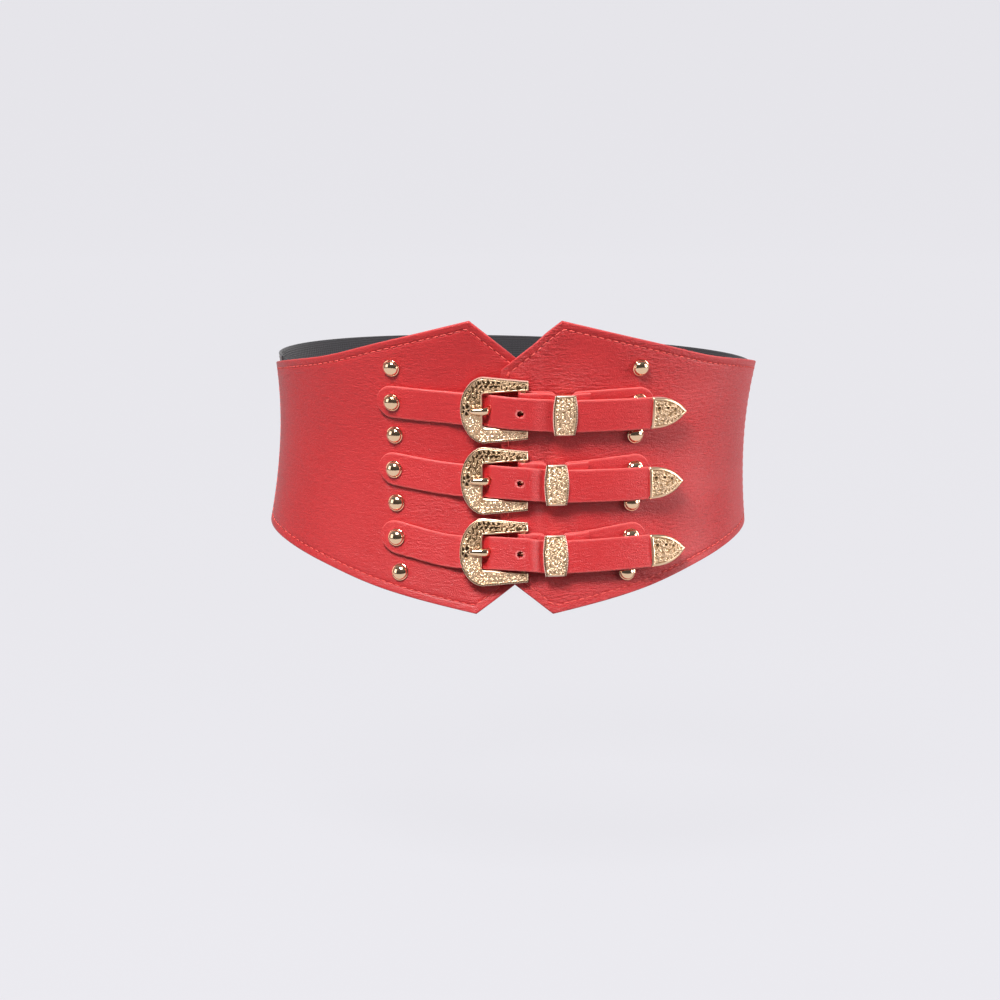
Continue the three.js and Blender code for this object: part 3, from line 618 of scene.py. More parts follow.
def set_along(name, paths, outs, material, **sizes):
    """A piece made of bodies along paths in millimetres. Sizes are in millimetres too."""
    points = np.concatenate(paths)
    edges = []
    start = 0
    for path in paths:
        edges += [(start + i, start + i + 1) for i in range(len(path) - 1)]
        start += len(path)
    mesh = bpy.data.meshes.new(name + "_path")
    mesh.from_pydata((points * MM).tolist(), edges, [])
    layer = mesh.attributes.new("out", "FLOAT_VECTOR", "POINT")
    layer.data.foreach_set("vector", np.concatenate(outs).ravel())
    guide = bpy.data.objects.new(name + "_path", mesh)
    scene.collection.objects.link(guide)
    row = guide.modifiers.new("row", "NODES")
    row.node_group = bead_row
    for socket in bead_row.interface.items_tree:
        if socket.in_out == "INPUT" and socket.name in sizes:
            row[socket.identifier] = sizes[socket.name] * MM
        if socket.in_out == "INPUT" and socket.name == "Finish":
            row[socket.identifier] = material
    solid = guide.evaluated_get(bpy.context.evaluated_depsgraph_get())
    baked = bpy.data.meshes.new_from_object(solid)
    bpy.data.objects.remove(guide)
    baked.name = name
    baked.materials.clear()
    baked.materials.append(material)
    piece = bpy.data.objects.new(name, baked)
    scene.collection.objects.link(piece)
    return piece


for name, side in (("left", -1), ("right", 1)):
    along, height, outer, inner, inset = panel_surface(side)
    points = np.stack([
        on_belt(side * along, height, outer),
        on_belt(side * along, height, inner),
    ])
    wear_and_shade = np.clip(1 - inset / WORN_WIDTH, 0, 1) * WORN_SHARE
    faces = wall_faces(*along.shape)
    panel = make_piece(
        "panel_" + name + "_leather", points, faces, panel_finishes[name],
        {"edge": np.stack([wear_and_shade, wear_and_shade])}, crease=60,
    )
    panel.data.materials.append(backing_finish)
    inside = len(grid_faces(*along.shape))
    slots = np.zeros(len(faces), dtype=np.int32)
    slots[inside:2 * inside] = 1
    panel.data.polygons.foreach_set("material_index", slots)
    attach(panel, "root")
    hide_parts("panel_" + name)

    front = SEAM_INSET - PANEL_LAP
    rear = PANEL_LENGTH - SEAM_INSET
    top_run = np.unique(np.concatenate([spaced(front, rear, 1.5), [PEAK_SETBACK, TIP_SETBACK]]))
    top_line = top_of(top_run, SEAM_INSET)
    foot_line = -bottom_of(top_run, SEAM_INSET)
    seam_along = np.concatenate([top_run, top_run[::-1], top_run[:1]])
    seam_height = np.concatenate([top_line, foot_line[::-1], top_line[:1]])
    steps = np.arange(0, len(seam_along) - 1 + 1e-9, 0.1)
    seam_along = np.interp(steps, np.arange(len(seam_along)), seam_along)
    seam_height = np.interp(steps, np.arange(len(seam_height)), seam_height)
    bed = lap_lift(side, seam_along) - SEAM_DEPTH
    out = directions(side * seam_along, seam_height)[2]
    path = on_belt(side * seam_along, seam_height, bed + STITCH_THICKNESS * STITCH_LIFT)
    stitches = set_along(
        "panel_" + name + "_stitches", [path], [out], thread_finish,
        Pitch=STITCH_PITCH, Length=STITCH_LENGTH, Width=STITCH_THICKNESS,
        Height=STITCH_THICKNESS,
    )
    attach(stitches, "root")
    later = walk_of(path) > STITCH_PITCH / 2
    bed_path = on_belt(side * seam_along, seam_height, bed)
    # dark bodies between the stitches: painted shade in the needle holes
    holes = set_along(
        "panel_" + name + "_needle_holes", [bed_path[later]], [out[later]], shadow_finish,
        Pitch=STITCH_PITCH, Length=NEEDLE_HOLE, Width=NEEDLE_HOLE * 0.8,
        Height=STITCH_THICKNESS * 0.3,
    )
    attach(holes, "root")

# THE ELASTIC BACK
# A wide black elastic, woven with fine upright ribs and firm selvedges. Its ends are sewn
# behind the panels' rear edges, and it pulls the belt tight.
ELASTIC_THICKNESS = 1.2
ELASTIC_LAP = 15.0
ELASTIC_RISE = 5.0
ELASTIC_INSET = 1.0
RIB_PITCH = 1.6
RIB_DEPTH = 0.16
SELVEDGE = 3.0
SELVEDGE_FADE = 0.8
ELASTIC_ROUNDING = 0.5

elastic_run = spaced(PANEL_LENGTH - ELASTIC_LAP, GIRTH - PANEL_LENGTH + ELASTIC_LAP, RIB_PITCH / 4)
elastic_share = smooth((elastic_run - PANEL_LENGTH) / (GIRTH - 2 * PANEL_LENGTH))
corner_height = PEAK_HEIGHT * PANEL_EDGE[-1][1]
elastic_low = ELASTIC_INSET - TIP_DROP * PANEL_EDGE[-1][2]
elastic_high = corner_height - ELASTIC_INSET + (ELASTIC_INSET + ELASTIC_RISE) * elastic_share
elastic_rows = np.concatenate([
    [0, 0.002, 0.006, 0.012, 0.02, 0.03],
    np.linspace(0.04, 0.96, 26),
    [0.97, 0.98, 0.988, 0.994, 0.998, 1],
])
height = elastic_low + (elastic_high - elastic_low)[:, None] * elastic_rows[None, :]
along = np.broadcast_to(elastic_run[:, None], height.shape)
inset = np.minimum(height - elastic_low, elastic_high[:, None] - height)
inset = np.minimum(inset, np.minimum(along - along[0, 0], along[-1, 0] - along))
rounding = rounding_at(inset, ELASTIC_ROUNDING)
field = smooth((inset - SELVEDGE) / SELVEDGE_FADE)
rib = RIB_DEPTH * field * (0.5 + 0.5 * np.cos(2 * math.pi * along / RIB_PITCH))
outside = -PANEL_THICKNESS - CLEARANCE
elastic_points = np.stack([
    on_belt(along, height, outside - rounding - rib),
    on_belt(along, height, outside - ELASTIC_THICKNESS + rounding + rib),
])
webbing = Finish("elastic_webbing")
webbing_place = webbing.place()
webbing_weft = webbing.add(
    "ShaderNodeTexWave",
    {"wave_type": "BANDS", "bands_direction": "Z"},
    {"Vector": webbing_place, "Scale": 260.0, "Distortion": 0.6, "Detail": 1.0,
     "Detail Scale": 3.0},
    output=1,
)
webbing_fuzz = webbing.noise(webbing_place, 1500.0, 3.0)
webbing_finish = webbing.shine(
    Base_Color=webbing.mix(
        (webbing_weft * 0.5 + webbing_fuzz * 0.5).held(), srgb(18, 17, 20), srgb(52, 50, 55)
    ),
    Roughness=0.82,
    Normal=webbing.bump(webbing_weft + webbing_fuzz * 0.6, 0.5, 0.00025),
    Sheen_Weight=0.25,
)
elastic = make_piece(
    "elastic_band", elastic_points, wall_faces(*along.shape), webbing_finish, crease=60
)
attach(elastic, "root")
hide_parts("back_elastic")
elastic_width = (elastic_high.mean() - elastic_low) * MM

# THE CAST METAL AND THE RIVETS
# Pale gold plate. The castings are darkened in their recesses and rubbed bright on top, and
# the rivets are pressed domes with a thin flange, polished all over.
STUD_COUNT = 7
STUD_SETBACK = 65.5
STUD_TAPER = 5.8
STUD_TOP = 49.9
STUD_RADIUS = 4.6
STUD_HEIGHT = 3.2
STRAP_WIDTH = 17.6
STRAP_THICKNESS = 1.6
TAB_THICKNESS = 1.2
WINDOW_GAP = 0.6
ARM_WIDTH = 8.5
ROW_GAP = 0.8
STRAP_HALF = STRAP_WIDTH / 2
WINDOW_HALF = STRAP_HALF + WINDOW_GAP
BUCKLE_HALF = WINDOW_HALF + ARM_WIDTH
STUD_PITCH = BUCKLE_HALF + ROW_GAP / 2


def gold(name, bright, warm, deep, roughness, texture):
    """Plated metal. The mesh's relief is 1 where it is rubbed bright, 0 in a recess,
    below 0 in a sharp dark cut and in the painted shade on the buckle's bar, and above 1
    where a pale pink highlight is painted on edges and walls."""
    made = Finish(name)
    place = made.place()
    cloud = made.noise(place, 130.0, 2.0)
    pits = made.noise(place, 1900.0, 3.0, 0.65)
    relief = made.attribute("relief")
    shown = ((relief - 0.08) * 1.5 + (pits - 0.5) * 0.7 + (cloud - 0.5) * 0.5).held()
    tint = made.mix(cloud, bright, warm)
    # relief above 1: a pale pink painted highlight, less metallic
    painted_highlight = (relief - 1).held()
    plate = made.mix(painted_highlight * 1.6, made.mix(shown, deep, tint), srgb(255, 222, 206))
    # relief below 0: dark engraved cuts, and the painted shade on the buckle's bar
    cut = ((0 - relief) * 1.3).held()
    return made.shine(
        Base_Color=made.mix(cut, plate, srgb(52, 34, 16)),
        Metallic=(shown * 0.25 + 0.75 - painted_highlight).held(),
        Roughness=roughness + (1 - shown) * 0.2 + (cloud - 0.5) * 0.08,
        Normal=made.bump(pits, texture, 0.00012),
    )


cast_gold = gold(
    "cast_gold", srgb(238, 207, 175), srgb(226, 190, 153), srgb(158, 124, 86), 0.31, 0.3
)
polished_gold = gold(
    "polished_gold", srgb(248, 214, 180), srgb(232, 196, 156), srgb(90, 62, 34), 0.1, 0.02
)

STUD_PROFILE = [
    # share of the radius, share of the height
    (0, 1), (0.12, 0.993), (0.24, 0.973), (0.36, 0.938), (0.48, 0.884), (0.59, 0.813),
    (0.69, 0.722), (0.77, 0.619), (0.83, 0.505), (0.865, 0.39), (0.885, 0.29), (0.91, 0.235),
    (0.96, 0.22), (0.99, 0.18), (1, 0.1), (0.985, 0.02), (0.95, 0),
]
POST_RADIUS = 1.3
BACK_CAP_RADIUS = 3.0
BACK_CAP_THICKNESS = 0.6
CAP_BEVEL = 0.15
STUD_SIDES = 40


def stud_along(i):
    return STUD_SETBACK - STUD_TAPER * (i / (STUD_COUNT - 1)) ** 3


def stud_height(i):
    return STUD_TOP - i * STUD_PITCH


for name, side in (("left", -1), ("right", 1)):
    for i in range(STUD_COUNT):
        held = STRAP_THICKNESS if side < 0 else TAB_THICKNESS
        foot = CLEARANCE + (REST_GAP + held if i % 2 else 0)
        back = -PANEL_THICKNESS - CLEARANCE - foot
        rear = back - BACK_CAP_THICKNESS
        profile = [(r * STUD_RADIUS, h * STUD_HEIGHT) for r, h in STUD_PROFILE]
        profile += [
            (POST_RADIUS, 0), (POST_RADIUS, back), (BACK_CAP_RADIUS - CAP_BEVEL, back),
            (BACK_CAP_RADIUS, back - CAP_BEVEL), (BACK_CAP_RADIUS, rear + CAP_BEVEL),
            (BACK_CAP_RADIUS - CAP_BEVEL, rear), (0, rear),
        ]
        place = float(side * stud_along(i))
        level = float(stud_height(i))
        right, up, out = directions(place, level)
        centre = on_face(place, level) + out * foot
        turns = np.arange(STUD_SIDES) * 2 * math.pi / STUD_SIDES
        points = [centre + out * profile[0][1]]
        for radius, lift in profile[1:-1]:
            for turn in turns:
                spoke = right * math.cos(turn) + up * math.sin(turn)
                points.append(centre + spoke * radius + out * lift)
        points.append(centre + out * profile[-1][1])
        last = len(points) - 1
        faces = [(0, 1 + k, 1 + (k + 1) % STUD_SIDES) for k in range(STUD_SIDES)]
        for ring in range(len(profile) - 3):
            a = 1 + ring * STUD_SIDES
            b = a + STUD_SIDES
            for k in range(STUD_SIDES):
                n = (k + 1) % STUD_SIDES
                faces.append((a + k, b + k, b + n, a + n))
        b = 1 + (len(profile) - 3) * STUD_SIDES
        faces += [(b + (k + 1) % STUD_SIDES, b + k, last) for k in range(STUD_SIDES)]
        node = f"stud_{name}_{i + 1}"
        dome = make_piece(
            "rivet_" + node, points, faces, polished_gold, {"relief": np.ones(len(points))}
        )
        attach(dome, "root")
        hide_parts(node)

# THE THREE ROWS
# Each row is one closure: a buckle held by a folded tab on the right panel, and a long strap
# from the left panel that runs through it. Everything in a row follows these lines.
BUCKLE_CENTRE = -10.7
BUCKLE_LENGTH = 34.4
BUCKLE_THICKNESS = 3.2
RAIL_WIDTH = 11.2
ARM_END_WIDTH = 4.8
ARM_SPREAD = 1.5
WINDOW_CORNER = 1.0
BAR_RADIUS = 1.2
BAR_INSET = 2.4
PRONG_RADIUS = 1.2
PRONG_LOOP_THICKNESS = 1.0
PRONG_REST = 6.2
PRONG_EXIT = 4.2
PRONG_SINK = 0.1
KEEPER_WIDTH = 12.6
KEEPER_END_WIDTH = 10.4
KEEPER_PLATE_THICKNESS = 1.5
KEEPER_WALL = 0.9
KEEPER_LOOP_WIDTH = 6.0
KEEPER_CROWN = 0.6
KEEPER_REACH = 21.2
TAB_RETURN = 38.5
TAB_RISE = 1.1
TAB_OFFSET = 1.6
TAB_DROP = 0.9
TIP_START = 71.2
TIP_LENGTH = 20.4
TIP_WIDTH = 16.9
TIP_WALL = 0.8
TIP_POCKET = 8.0
HOLE_RADIUS = 1.5
HOLE_SPACING = 15.0
ROWS = [
    # name, then the buckle's, keeper's and tip's sag and the keeper's reach, as shares
    ("upper", 0.1, 0.31, 0.3, 1.0),
    ("middle", 0.23, 0.41, 0.43, 0.81),
    ("lower", 0.34, 0.5, 0.45, 0.77),
]
RAIL_OUTER = BUCKLE_CENTRE - BUCKLE_LENGTH / 2
RAIL_INNER = RAIL_OUTER + RAIL_WIDTH
ARM_END = BUCKLE_CENTRE + BUCKLE_LENGTH / 2
BAR = ARM_END - BAR_INSET
PRONG_HOLE = RAIL_INNER + PRONG_EXIT
BAR_LIFT = LAP_LIFT + REST_GAP + TAB_THICKNESS + CLEARANCE + BAR_RADIUS
FOLD_RADIUS = BAR_RADIUS + CLEARANCE + TAB_THICKNESS / 2
FRAME_BOTTOM = BAR_LIFT - BUCKLE_THICKNESS / 2
FRAME_TOP = BAR_LIFT + BUCKLE_THICKNESS / 2
STRAP_REST = REST_GAP + STRAP_THICKNESS / 2
STRAP_CLEAR = CLEARANCE + STRAP_THICKNESS / 2
TAB_REST = REST_GAP + TAB_THICKNESS / 2
TAB_IN_KEEPER = TAB_REST + KEEPER_WALL + CLEARANCE
RETURN_IN_KEEPER = TAB_IN_KEEPER + TAB_THICKNESS + CLEARANCE
STRAP_IN_KEEPER = RETURN_IN_KEEPER + (TAB_THICKNESS + STRAP_THICKNESS) / 2 + CLEARANCE
STRAP_OVER_STUD = STRAP_REST + TAB_THICKNESS + STUD_HEIGHT + 2 * CLEARANCE
SHAFT_LIFT = LAP_LIFT + CLEARANCE + PRONG_SINK + PRONG_RADIUS
RAIL_LIFT = FRAME_TOP + CLEARANCE + PRONG_RADIUS
STRAP_CLIMB = RAIL_INNER + WINDOW_CORNER / 2
TIP_HALF_THICKNESS = STRAP_THICKNESS / 2 + CLEARANCE + TIP_WALL


class Row:
    """The lines that the pieces of one row follow, in millimetres."""

    def __init__(self, number, name, buckle_sag, keeper_sag, tip_sag, reach):
        slack = WINDOW_GAP / 2
        anchor = stud_height(2 * number + 1)
        self.name = name
        self.stud = stud_along(2 * number + 1)
        self.buckle = anchor - buckle_sag * STRAP_WIDTH
        self.keeper = BAR + reach * KEEPER_REACH
        self.keeper_height = anchor - keeper_sag * STRAP_WIDTH
        tip_height = anchor - tip_sag * STRAP_WIDTH
        self.strap_height = through([
            (-self.stud, anchor),
            (RAIL_OUTER, self.buckle - slack / 2),
            (PRONG_HOLE, self.buckle - slack),
            (BAR, self.buckle - WINDOW_GAP - ARM_SPREAD / 3),
            (self.keeper, self.keeper_height),
            (TIP_START, tip_height),
            (TIP_START + TIP_LENGTH, tip_height - slack),
        ])
        over_bar = BAR_LIFT + FOLD_RADIUS + TAB_THICKNESS / 2 + STRAP_CLEAR
        self.strap_lift = through([
            (-self.stud, STRAP_REST),
            (RAIL_OUTER - STRAP_HALF, STRAP_REST),
            (RAIL_OUTER, FRAME_BOTTOM - STRAP_CLEAR),
            (STRAP_CLIMB, FRAME_BOTTOM - STRAP_CLEAR),
            (PRONG_HOLE + PRONG_RADIUS, SHAFT_LIFT + PRONG_RADIUS + STRAP_CLEAR),
            (BAR - FOLD_RADIUS, over_bar),
            (BAR + FOLD_RADIUS, over_bar),
            (self.keeper - KEEPER_WIDTH / 2, STRAP_IN_KEEPER),
            (self.keeper + KEEPER_WIDTH / 2, STRAP_IN_KEEPER),
            (self.stud - STUD_RADIUS, STRAP_OVER_STUD),
            (TIP_START + TIP_LENGTH, STRAP_OVER_STUD),
        ])
        self.tab_height = through([
            (BAR, self.buckle + TAB_RISE),
            (self.keeper - KEEPER_LOOP_WIDTH / 2, self.keeper_height + TAB_OFFSET),
            (self.keeper + KEEPER_LOOP_WIDTH / 2, self.keeper_height + TAB_OFFSET),
            (self.stud, anchor - TAB_DROP),
        ])
        self.tab_lift = through([
            (BAR + FOLD_RADIUS, BAR_LIFT - FOLD_RADIUS),
            (LAP_END + 1, BAR_LIFT - FOLD_RADIUS),
            (self.keeper - KEEPER_LOOP_WIDTH / 2 - 1, TAB_IN_KEEPER),
            (self.keeper + KEEPER_LOOP_WIDTH / 2 + 1, TAB_IN_KEEPER),
            (self.stud - STUD_RADIUS, TAB_REST),
            (self.stud, TAB_REST),
        ])
        self.return_lift = through([
            (BAR, BAR_LIFT + FOLD_RADIUS),
            (self.keeper - KEEPER_WIDTH / 2 - 1, RETURN_IN_KEEPER),
            (TAB_RETURN, RETURN_IN_KEEPER),
        ])


rows = [Row(number, *row) for number, row in enumerate(ROWS)]

# THE LONG STRAPS
# Strips of the same imitation leather, turned over a backing so that their edges are soft
# and a little paler. Each has a slot for the prong and one spare punched hole, with a pale
# ring painted round the hole as a painted highlight on its cut edge.
STRAP_ROUNDING = 0.62
STRAP_GRAIN = 0.8
HOLE_DISH = 0.16
SLOT_ROOM = 0.16
PUNCH_SIDES = 28
PUNCH_REACH = (-6.0, 16.0)
EDGE_WEAR = 0.9
strap_finish = leather(
    "strap_leather", srgb(212, 46, 48), srgb(198, 37, 40), srgb(240, 104, 100), 0.5, 0.42
)


def strip_points(along, lift, half, centre, thickness, marks=()):
    """Rings of points round a strip that follows a path, how close they are to an edge, and where
    a pale ring is painted round a hole as a painted highlight.
    """
    ahead = unit(np.stack([np.gradient(along), np.gradient(lift)], axis=1))
    corner = np.linspace(0, math.pi / 2, 5)
    rounding = min(STRAP_ROUNDING, thickness * 0.45)
    # the upper half of the section, then its lower half turned round:
    # (share of the flat width, inset, height in the thickness)
    section = [(v, rounding, thickness / 2) for v in np.linspace(-1, 1, 21)]
    section += [
        (1, rounding * (1 - math.sin(a)), thickness / 2 - rounding * (1 - math.cos(a)))
        for a in corner[1:]
    ]
    section += [
        (1, rounding * (1 - math.cos(a)), -thickness / 2 + rounding * (1 - math.sin(a)))
        for a in corner[:-1]
    ]
    section = np.array(section)
    section = np.concatenate([section, section * [-1, 1, -1]])
    width = np.maximum(half[:, None] - section[None, :, 1], 0.0)
    across = section[None, :, 0] * width
    over = np.broadcast_to(section[None, :, 2], across.shape).copy()
    near = np.clip(1 - (half[:, None] - np.abs(across)) / 1.0, 0, 1)
    rim = np.zeros_like(near)
    for place, radius in marks:
        distance = np.hypot(along[:, None] - place, across)
        over -= np.sign(over) * HOLE_DISH * hump(distance - radius, 0.55)
        # a pale ring round each hole, painted as a highlight on its cut edge
        rim = np.maximum(rim, hump(distance - radius - 0.3, 0.32))
    points = on_belt(
        along[:, None] - ahead[:, 1:] * over, centre[:, None] + across,
        lift[:, None] + ahead[:, :1] * over, centre[:, None],
    )
    return points, near, rim


def tube_faces(rings, sides):
    faces = []
    for i in range(rings - 1):
        for j in range(sides):
            n = (j + 1) % sides
            faces.append((i * sides + j, i * sides + n, (i + 1) * sides + n, (i + 1) * sides + j))
    faces.append(tuple(range(sides - 1, -1, -1)))
    faces.append(tuple((rings - 1) * sides + j for j in range(sides)))
    return faces


def cut_away(piece, tools):
    """Cuts other closed meshes out of a piece and deletes them."""
    for tool in tools:
        cut = piece.modifiers.new("cut", "BOOLEAN")
        cut.operation = "DIFFERENCE"
        cut.solver = "EXACT"
        cut.object = tool
    solid = piece.evaluated_get(bpy.context.evaluated_depsgraph_get())
    mesh = bpy.data.meshes.new_from_object(solid)
    piece.modifiers.clear()
    piece.data = mesh
    mesh.name = piece.name
    for tool in tools:
        bpy.data.objects.remove(tool)


def punch(along, height, long, wide):
    """A round or oval tool through the belt at one place."""
    right, up, out = directions(float(along), float(height))
    centre = on_face(float(along), float(height))
    turns = np.arange(PUNCH_SIDES) * 2 * math.pi / PUNCH_SIDES
    points = [
        centre + right * long * math.cos(t) + up * wide * math.sin(t) + out * lift
        for lift in PUNCH_REACH for t in turns
    ]
    return make_piece("punch", points, tube_faces(2, PUNCH_SIDES), strap_finish)


PRONG_LINE = [
    # from which place, radii further along, share of the climb, shares of height and width
    (BAR, -2, -0.05, 0.5, 1),
    (BAR, -5, 0, 1, 1),
    (PRONG_HOLE, 1, 0, 1, 1.4),
    (PRONG_HOLE, -0.4, 0.26, 1, 1.8),
    (PRONG_HOLE, -1.6, 0.76, 1, 1.75),
    (RAIL_INNER, 0, 1, 0.95, 1.6),
    (RAIL_INNER - PRONG_REST, 1.9, 1, 0.9, 1.25),
    (RAIL_INNER - PRONG_REST, 0.8, 0.985, 0.8, 1.05),
    (RAIL_INNER - PRONG_REST, 0.25, 0.97, 0.6, 0.75),
    (RAIL_INNER - PRONG_REST, 0, 0.96, 0.25, 0.3),
]
PRONG_STOPS = [
    (
        start + radii * PRONG_RADIUS, SHAFT_LIFT + climb * (RAIL_LIFT - SHAFT_LIFT),
        deep * PRONG_RADIUS, wide * PRONG_RADIUS,
    )
    for start, radii, climb, deep, wide in PRONG_LINE
]
ROD_SIDES = 20


def rod_along(stops, row, room=0.0):
    """The prong's rod through stops of distance along, lift, half height and half width."""
    stops = np.array(stops)
    knots = walk_of(stops[:, :2])
    walk = np.unique(np.concatenate([knots, spaced(0, knots[-1], 0.4)]))
    along, lift, deep, wide = (
        through(list(zip(knots, stops[:, k])))(walk) for k in range(4)
    )
    ahead = unit(np.stack([np.gradient(along, walk), np.gradient(lift, walk)], axis=1))
    turns = (np.arange(ROD_SIDES) + 0.5) * 2 * math.pi / ROD_SIDES
    over = np.sin(turns)[None, :] * (deep + room)[:, None]
    points = on_belt(
        along[:, None] - ahead[:, 1:] * over,
        row.buckle + np.cos(turns)[None, :] * (wide + room)[:, None],
        lift[:, None] + ahead[:, :1] * over,
        row.buckle,
    )
    return points.reshape(-1, 3), tube_faces(*over.shape)


# distances from a rounded strap end at which it has a ring
END_STEPS = STRAP_HALF * (1 - np.cos(np.linspace(0.03, math.pi / 2, 22)))


def half_near_end(distance):
    """Half a strap's width at distances from its rounded end."""
    return STRAP_HALF * np.sqrt(1 - (1 - np.clip(distance / STRAP_HALF, 0, 1)) ** 2)


for row in rows:
    end = row.stud + STRAP_HALF
    finish_at = TIP_START + TIP_POCKET - CLEARANCE
    along = np.concatenate([
        END_STEPS - end,
        spaced(-row.stud, TIP_START - 1.2, STRAP_GRAIN)[1:],
        [TIP_START - 0.8, TIP_START - CLEARANCE, finish_at],
    ])
    half = half_near_end(along + end)
    half[-2:] = TIP_WIDTH / 2 - TIP_WALL - CLEARANCE
    free = PRONG_HOLE + HOLE_SPACING
    points, near, rim = strip_points(
        along, row.strap_lift(along), half, row.strap_height(along), STRAP_THICKNESS,
        [(free, HOLE_RADIUS)],
    )
    strap = make_piece(
        "strap_" + row.name + "_leather", points, tube_faces(*near.shape), strap_finish,
        {"edge": near * EDGE_WEAR, "rim": rim}, crease=50,
    )
    cut_away(strap, [
        punch(free, row.strap_height(free), HOLE_RADIUS + 0.15, HOLE_RADIUS + 0.15),
        make_piece("slot", *rod_along(PRONG_STOPS, row, SLOT_ROOM), strap_finish),
    ])
    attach(strap, "root")
    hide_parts("strap_" + row.name)

# THE BUCKLE TABS
# A shorter, thinner strip is folded round the buckle's bar. Its upper layer ends just past
# the keeper, and its lower one runs on to the rivet on the right panel.
TAB_BULGE = 2.2
UPPER_BULGE = 0.7
PINCH_START = 3.3
PINCH_REACH = 6.6
SLOT_FRONT = 5.8
SLOT_BACK = 3.4
SLOT_SIDE = 0.9
for row in rows:
    end = row.stud + STRAP_HALF
    lower = np.concatenate([
        end - END_STEPS, spaced(row.stud, BAR + FOLD_RADIUS, STRAP_GRAIN)[1:]
    ])
    fold = np.radians(np.arange(-97, -270, -7.0))
    upper = spaced(BAR + FOLD_RADIUS * math.cos(fold[-1]) + 0.4, TAB_RETURN, STRAP_GRAIN)
    along = np.concatenate([lower, BAR + FOLD_RADIUS * np.cos(fold), upper])
    lift = np.concatenate([
        row.tab_lift(lower), BAR_LIFT + FOLD_RADIUS * np.sin(fold), row.return_lift(upper)
    ])
    half = np.full(len(along), STRAP_HALF)
    half[:len(lower)] = half_near_end(end - lower)
    # the keeper's loop pinches the tab, so it bulges up on both sides of it
    bulge = through([
        (BAR, 0), (row.keeper - PINCH_REACH, TAB_BULGE), (row.keeper - PINCH_START, 0),
        (row.keeper + PINCH_START, 0), (row.keeper + PINCH_REACH, TAB_BULGE), (row.stud, 0),
    ])(along)
    bulge[len(lower):] *= UPPER_BULGE
    points, near, rim = strip_points(
        along, lift, half, row.tab_height(along) + bulge, TAB_THICKNESS
    )
    tab = make_piece(
        "buckle_tab_" + row.name + "_leather", points, tube_faces(*near.shape), strap_finish,
        {"edge": near * EDGE_WEAR, "rim": rim}, crease=50,
    )
    # the prong's loop and its root pass through a slot across the fold
    cut_away(tab, [punch(
        BAR + (SLOT_BACK - SLOT_FRONT) / 2, row.buckle, (SLOT_BACK + SLOT_FRONT) / 2,
        PRONG_RADIUS + SLOT_SIDE,
    )])
    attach(tab, "root")
    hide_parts("buckle_tab_" + row.name)

# THE BUCKLE FRAMES
# A C-shaped zinc casting with a straight bar across its open end. Its face has a beaded
# border, a smooth inner rim and raised scrolls, a flower and drops on a sunk, dark ground.
BORDER_WIDTH = 1.05
INNER_RIM = 0.75
GROUND_DEPTH = 0.55
SCROLL_HEIGHT = 0.5
SCROLL_STROKE = 0.2
SCROLL_LANE = 2.6
SCROLL_TWIST = 2.4
BEAD_PITCH = 0.86
BEAD_LENGTH = 0.74
BEAD_WIDTH = 0.8
FRAME_BEAD_HEIGHT = 0.62
BEAD_INSET = 0.48 * BORDER_WIDTH
FRAME_DOME = 0.5
DOME_POWER = 1.6
# the castings' walls and outer edges carry a pale pink painted highlight
WALL_HIGHLIGHT = 1.6
EDGE_HIGHLIGHT = 0.55
BEAD_GROOVE = 0.75
EDGE_BEVEL = 0.3
GROUND_WALL = 0.3
SCROLL_FILL = 1.15
FLOWER_PLACE = (-25.0, 0.0)
FLOWER_DEPTH = 0.3
PETAL_REACH = 1.6
BOSS_RADIUS = 0.65
DROP_DEPTH = 0.22
DROP_PITCH = 1.25
DROP_START = -19.5
DROP_COUNT = 10
DROP_LENGTH = 0.56
DROP_WIDTH = 0.85
BAR_SIDES = 20
# the bar is painted dark, a painted shade, where it lies in shadow between the tab's layers
BAR_SHADE = -0.15


def spiral(centre, radius, start, turns, hand, steps=36):
    """A curl that winds in to its centre."""
    t = np.linspace(0, 1, steps)
    angle = start + hand * turns * 2 * math.pi * t
    reach = radius * (1 - 0.86 * t**0.8)
    return np.stack([centre[0] + reach * np.cos(angle), centre[1] + reach * np.sin(angle)], 1)


def scrollwork(length, width_at, lane=SCROLL_LANE):
    """Curls in staggered lanes along a strip, each with a leaf that reaches for the next."""
    columns = max(1, round(length / lane))
    pitch = length / columns
    strokes = []
    for k in range(columns):
        width = width_at((k + 0.5) * pitch)
        lanes = max(1, round(width / lane))
        for j in range(lanes):
            u = (k + 0.5 + (0.24 if j % 2 else -0.24)) * pitch
            v = (j - (lanes - 1) / 2) * width / lanes
            hand = 1 if (k + j) % 2 else -1
            radius = 0.45 * min(pitch, width / lanes)
            start = SCROLL_TWIST * (k + 1.7 * j)
            strokes.append(spiral((u, v), radius, start, 1.2, hand))
            t = np.linspace(0, 1, 9)
            reach = radius * (1.0 + 0.75 * t)
            angle = start - hand * 1.1 * t
            strokes.append(np.stack([u + reach * np.cos(angle), v + reach * np.sin(angle)], 1))
            angle = start + math.pi + hand * 0.9 * t
            reach = radius * (0.95 + 0.35 * t)
            strokes.append(np.stack([u + reach * np.cos(angle), v + reach * np.sin(angle)], 1))
    return np.concatenate(strokes)


def raised(u, v, strokes, stroke=SCROLL_STROKE):
    """How high the scrolls stand at each point, from 0 to 1."""
    u, v = np.broadcast_arrays(u, v)
    flat = np.stack([u.ravel(), v.ravel()], axis=1)
    nearest = np.full(len(flat), 1e9)
    for start in range(0, len(strokes), 200):
        part = strokes[start:start + 200]
        gap = ((flat[:, None, :] - part[None, :, :]) ** 2).sum(-1).min(1)
        nearest = np.minimum(nearest, gap)
    return np.exp(-nearest / (2 * stroke**2)).reshape(u.shape)


